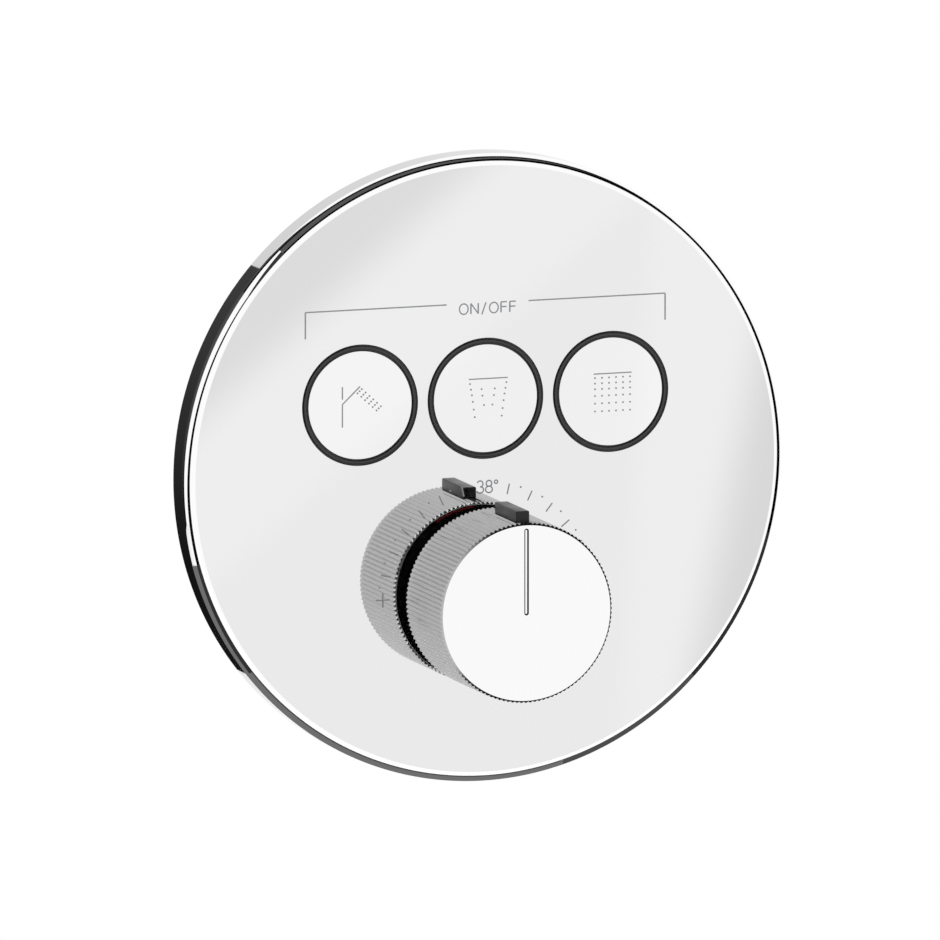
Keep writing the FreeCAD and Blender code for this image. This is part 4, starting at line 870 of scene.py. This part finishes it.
class VALVE_OT_nodes(bpy.types.Operator):
    """Give every node that is shown as it is its own finish"""
    bl_idname = "valve.nodes"
    bl_label = "Finishes behind the wall"

    def execute(self, context):
        slots = {part["node"]: part["material_slot"] for part in frame["record"]["subparts"]}
        for name, node in frame["nodes"].items():
            node.data.materials.clear()
            node.data.materials.append(finish(SLOT_FINISH.get(slots[name], slots[name])))
        return {"FINISHED"}


# ---- stage

def even_card(tree, tone):
    """What mirrors see of a plain card: one tone from black to white."""
    return add_node(tree, "ShaderNodeEmission", {"Color": (1, 1, 1, 1), "Strength": tone})


def softbox_cloth(tree, axis):
    """The softbox's cloth as the plate mirrors it: even, with soft steps at its folds."""
    place = add_node(tree, "ShaderNodeTexCoord").outputs["Object"]
    # Where a point of the cloth shows up on the plate's face, in metres.
    across = []
    for part in (Vector((1, -axis.x / axis.y, 0)), Vector((0, -axis.z / axis.y, 1))):
        dot = add_node(tree, "ShaderNodeVectorMath", {0: place, 1: part}, operation="DOT_PRODUCT")
        shift = add_node(tree, "ShaderNodeMath",
                         {0: dot.outputs["Value"], 1: part.y * FACE_Y}, operation="SUBTRACT")
        across.append(shift.outputs["Value"])
    point = add_node(tree, "ShaderNodeCombineXYZ", {"X": across[0], "Z": across[1]})
    level = 1.0
    for direction, start, end, change in CLOTH_STEPS:
        along = add_node(tree, "ShaderNodeVectorMath",
                         {0: point.outputs["Vector"], 1: Vector(direction).normalized()},
                         operation="DOT_PRODUCT")
        step = add_node(tree, "ShaderNodeMapRange",
                        {"Value": along.outputs["Value"], "From Min": start, "From Max": end,
                         "To Min": 1.0, "To Max": change}, interpolation_type="SMOOTHERSTEP")
        both = add_node(tree, "ShaderNodeMath",
                        {0: level, 1: step.outputs["Result"]}, operation="MULTIPLY")
        level = both.outputs["Value"]
    return add_node(tree, "ShaderNodeEmission", {"Color": (1, 1, 1, 1), "Strength": level})


def add_card(name, bm, material):
    """Put a card on the stage that mirrors see and nothing else does."""
    card = put_object(name, bm, material)
    for sense in ("camera", "diffuse", "shadow", "transmission", "volume_scatter"):
        setattr(card, "visible_" + sense, False)


def softbox():
    """The round softbox that the camera sees mirrored in the plate's face."""
    axis = (-VIEW_BACK).reflect(Vector((0, 1, 0)))
    bm = bmesh.new()
    turn = Vector((0, 0, 1)).rotation_difference(axis).to_matrix().to_4x4()
    place = Matrix.Translation(Vector((0, FACE_Y, 0)) + axis * SOFTBOX_DISTANCE) @ turn
    bmesh.ops.create_circle(bm, cap_ends=True, radius=SOFTBOX_RADIUS, segments=96, matrix=place)
    add_card("softbox", bm, new_material("softbox_cloth", softbox_cloth, axis))


def mirror_point(settings, turn, lean, reach):
    """Where the eye looks, at a reach from the plate's centre, by way of its rounded edge.

    turn is the place round the plate and lean the slope of its edge there, in degrees.
    """
    turn, lean = math.radians(turn), math.radians(lean)
    outward = Vector((math.cos(turn), 0.0, math.sin(turn)))
    normal = outward * math.sin(lean) - Vector((0, math.cos(lean), 0))
    ray = (-VIEW_BACK).reflect(normal)
    start = outward * (settings.radius - settings.edge * (1 - math.sin(lean)))
    start.y = settings.edge * (1 - math.cos(lean))
    half = start.dot(ray)
    run = -half + math.sqrt(half * half - start.length_squared + reach * reach)
    return Vector((0, FACE_Y, 0)) + start + ray * run


CARD_STRIPS = 4


def rim_card(name, settings, first, last, reach, tone):
    """A curved card that the plate's edge mirrors between two turns, each with two leans."""
    bm = bmesh.new()
    steps = max(4, int(abs(last[0] - first[0]) / 4))
    rows = []
    for i in range(steps + 1):
        turn, inner, outer = (a + (b - a) * (i / steps) for a, b in zip(first, last))
        slopes = [inner + (outer - inner) * j / CARD_STRIPS for j in range(CARD_STRIPS + 1)]
        rows.append([bm.verts.new(mirror_point(settings, turn, slope, reach)) for slope in slopes])
    for one, other in zip(rows, rows[1:]):
        for j in range(CARD_STRIPS):
            bm.faces.new((one[j], one[j + 1], other[j + 1], other[j]))
    add_card(name, bm, new_material(name, even_card, tone))


def white_world():
    """White to the eye and in mirrors, and a plain level of light on everything else."""
    world = bpy.data.worlds.new("white_room")
    bpy.context.scene.world = world
    world.use_nodes = True
    tree = world.node_tree
    tree.nodes.clear()
    path = add_node(tree, "ShaderNodeLightPath")
    eye = add_node(tree, "ShaderNodeMath",
                   {0: path.outputs["Is Camera Ray"], 1: path.outputs["Is Glossy Ray"]},
                   operation="MAXIMUM")
    seen = add_node(tree, "ShaderNodeMath",
                    {0: eye.outputs["Value"], 1: path.outputs["Is Transmission Ray"]},
                    operation="MAXIMUM")
    level = add_node(tree, "ShaderNodeMapRange",
                     {"Value": seen.outputs["Value"], "To Min": 0.75, "To Max": 1.0})
    back = add_node(tree, "ShaderNodeBackground",
                    {"Color": (1, 1, 1, 1), "Strength": level.outputs["Result"]})
    add_node(tree, "ShaderNodeOutputWorld", {"Surface": back.outputs["Background"]})


def floor_paint(tree):
    """Pale matt floor paint that drifts a little in tone."""
    place = add_node(tree, "ShaderNodeTexCoord").outputs["Object"]
    drift = add_node(tree, "ShaderNodeTexNoise", {"Vector": place, "Scale": 3.0, "Detail": 2.0})
    tone = add_node(tree, "ShaderNodeMix",
                    {"Factor": drift.outputs["Fac"], "A": linear("#F4F4F4"),
                     "B": linear("#F8F8F8")}, data_type="RGBA")
    return add_node(tree, "ShaderNodeBsdfPrincipled",
                    {"Base Color": tone.outputs["Result"], "Roughness": 0.8})


def pale_floor(depth):
    """A round floor under the valve that takes its shadow."""
    bm = bmesh.new()
    bmesh.ops.create_circle(bm, cap_ends=True, radius=1.4, segments=96,
                            matrix=Matrix.Translation((0, 0, -depth)))
    floor = put_object("floor", bm, new_material("floor_paint", floor_paint))


def add_lamp(name, place, size, power):
    """A square lamp that lights from place towards the plate's centre and isn't mirrored."""
    light = bpy.data.lights.new(name, "AREA")
    light.size = size
    light.energy = power
    lamp = bpy.data.objects.new(name, light)
    bpy.context.scene.collection.objects.link(lamp)
    lamp.location = place
    lamp.rotation_mode = "QUATERNION"
    lamp.rotation_quaternion = (-Vector(place)).to_track_quat("-Z", "Y")
    lamp.visible_glossy = False
    lamp.visible_camera = False


# Soft steps across the softbox's cloth, as the plate shows them: the way across a step, where
# it starts and ends in metres from the plate's centre, and what it does to the light.
CLOTH_STEPS = (((-0.634, 0, 0.773), 0.026, 0.043, 1.039),
               ((-0.634, 0, 0.773), 0.067, 0.093, 0.837),
               ((0.998, 0, -0.06), 0.045, 0.062, 1.039),
               ((0.978, 0, -0.207), 0.073, 0.100, 0.803))

# Cards round the plate: the turn and its two leans at each end, how far off and what tone.
RIM_CARDS = {
    "corner_lower": ((-75, 18, 88), (-45, 16, 56), 0.17, 0.075),
    "corner_right": ((-45, 16, 56), (-15, 16, 41), 0.17, 0.03),
    "line_right": ((-15, 16, 40), (45, 22, 36), 0.17, 0.001),
    "line_upper": ((45, 22, 36), (133, 27, 36), 0.17, 0.002),
    "edge_upper": ((50, 30, 37), (143, 65, 77), 0.17, 0.004),
    "wedge": ((133, 27, 50), (143, 27, 35), 0.17, 0.035),
    "line_left": ((143, 28, 34), (195, 32, 49), 0.17, 0.003),
    "dark_lower_left": ((195, 31, 50), (218, 29, 54), 0.17, 0.03),
    "line_lower": ((218, 29, 38), (285, 18, 25), 0.17, 0.07),
    "grey_upper": ((58, 27, 38), (133, 29, 66), 0.174, 0.09),
    "grey_lower": ((195, 33, 88), (285, 19, 88), 0.174, 0.16),
}

# Lamps: name, place, size and power.
LAMPS = (("key_lamp", (-0.9, -1.2, 1.3), 0.8, 14.0),
         ("fill_lamp", (1.3, -1.0, 0.4), 1.0, 6.0),
         ("back_lamp", (0.6, 1.4, 0.9), 0.9, 10.0))
SOFTBOX_DISTANCE = 0.60
SOFTBOX_RADIUS = 0.125

# The camera's axes, and how far right and up of the picture's middle the plate's centre sits.
PICTURE_SHIFT = (0.00497, 0.00013)
VIEW_RIGHT = Vector((0.9429, -0.3330, 0.0))
VIEW_UP = Vector((0.0527, 0.1493, 0.9874))
VIEW_BACK = Vector((-0.3288, -0.9311, 0.1583))


def rising_card(tree):
    """A dark card's tone that rises a little from its foot to its top."""
    place = add_node(tree, "ShaderNodeTexCoord").outputs["Object"]
    part = add_node(tree, "ShaderNodeSeparateXYZ", {"Vector": place})
    level = add_node(tree, "ShaderNodeMapRange",
                     {"Value": part.outputs["Z"], "From Min": -0.35, "From Max": 0.35,
                      "To Min": 0.010, "To Max": 0.066})
    return add_node(tree, "ShaderNodeEmission",
                    {"Color": (1, 1, 1, 1), "Strength": level.outputs["Result"]})


def behind_left_card():
    """A dark card behind and left of the plate, which the left of its side wall mirrors."""
    upper, lower = Vector((-0.275, 1.0, 0.407)), Vector((0.009, 1.0, -0.447))
    along = (upper - lower).normalized()
    middle, left = (upper + lower) / 2, Vector((-3.0, 0.0, 0.0))
    bm = bmesh.new()
    bm.faces.new([bm.verts.new(middle + along * a + left * b)
                  for a, b in ((-3, 0), (3, 0), (3, 1), (-3, 1))])
    name = "flag_behind_left"
    add_card(name, bm, new_material(name, rising_card))


class VALVE_OT_stage(bpy.types.Operator):
    """Set up the floor, the white room, the lamps, the cards and the camera"""
    bl_idname = "valve.stage"
    bl_label = "Stage"

    def execute(self, context):
        settings = context.scene.valve_stage
        scene = context.scene
        scene.view_settings.view_transform = "Standard"
        white_world()
        pale_floor(settings.floor)
        for lamp in LAMPS:
            add_lamp(*lamp)
        softbox()
        for name, card in RIM_CARDS.items():
            rim_card(name, scene.valve_plate, *card)
        behind_left_card()
        target = Vector((0, FACE_Y, 0)) - VIEW_RIGHT * PICTURE_SHIFT[0] - VIEW_UP * PICTURE_SHIFT[1]
        data = bpy.data.cameras.new("camera")
        data.sensor_width = 36.0
        data.lens = 36.0 * settings.distance / settings.width
        data.clip_end = 200.0
        camera = bpy.data.objects.new("camera", data)
        scene.collection.objects.link(camera)
        camera.location = target + VIEW_BACK * settings.distance
        camera.rotation_mode = "QUATERNION"
        axes = Matrix((VIEW_RIGHT, VIEW_UP, VIEW_BACK)).transposed()
        camera.rotation_quaternion = axes.to_quaternion()
        scene.camera = camera
        return {"FINISHED"}


# ---- panel and registration

class VALVE_PT_panel(bpy.types.Panel):
    """The valve's pieces and sizes in the sidebar"""
    bl_idname = "VALVE_PT_panel"
    bl_label = "Shower valve"
    bl_space_type = "VIEW_3D"
    bl_region_type = "UI"
    bl_category = "Shower valve"

    def draw(self, context):
        for name, (kind, title, operators) in GROUPS.items():
            box = self.layout.box()
            box.label(text=title)
            for field in kind.__annotations__:
                box.prop(getattr(context.scene, name), field)
            for operator in operators:
                box.operator(operator.bl_idname)


# Each group of settings: its class, its title in the panel and the operators under it.
GROUPS = {
    "valve_plate": (PlateSettings, "Cover plate", (VALVE_OT_plate,)),
    "valve_button": (ButtonSettings, "Buttons", (VALVE_OT_buttons,)),
    "valve_knob": (KnobSettings, "Knob", (VALVE_OT_knob, VALVE_OT_lever)),
    "valve_print": (PrintSettings, "Print", (VALVE_OT_prints,)),
    "valve_stage": (StageSettings, "Stage", (VALVE_OT_nodes, VALVE_OT_stage)),
}


def register():
    for name, (kind, _, operators) in GROUPS.items():
        bpy.utils.register_class(kind)
        setattr(bpy.types.Scene, name, PointerProperty(type=kind))
        for operator in operators:
            bpy.utils.register_class(operator)
    bpy.utils.register_class(VALVE_PT_panel)


def unregister():
    bpy.utils.unregister_class(VALVE_PT_panel)
    for name, (kind, _, operators) in GROUPS.items():
        for operator in operators:
            bpy.utils.unregister_class(operator)
        delattr(bpy.types.Scene, name)
        bpy.utils.unregister_class(kind)


def main():
    register()
    bpy.ops.valve.nodes()
    bpy.ops.valve.plate()
    bpy.ops.valve.buttons()
    bpy.ops.valve.knob()
    bpy.ops.valve.lever()
    bpy.ops.valve.prints()
    bpy.ops.valve.stage()
    bpy.context.view_layer.update()


if __name__ == "__main__":
    main()
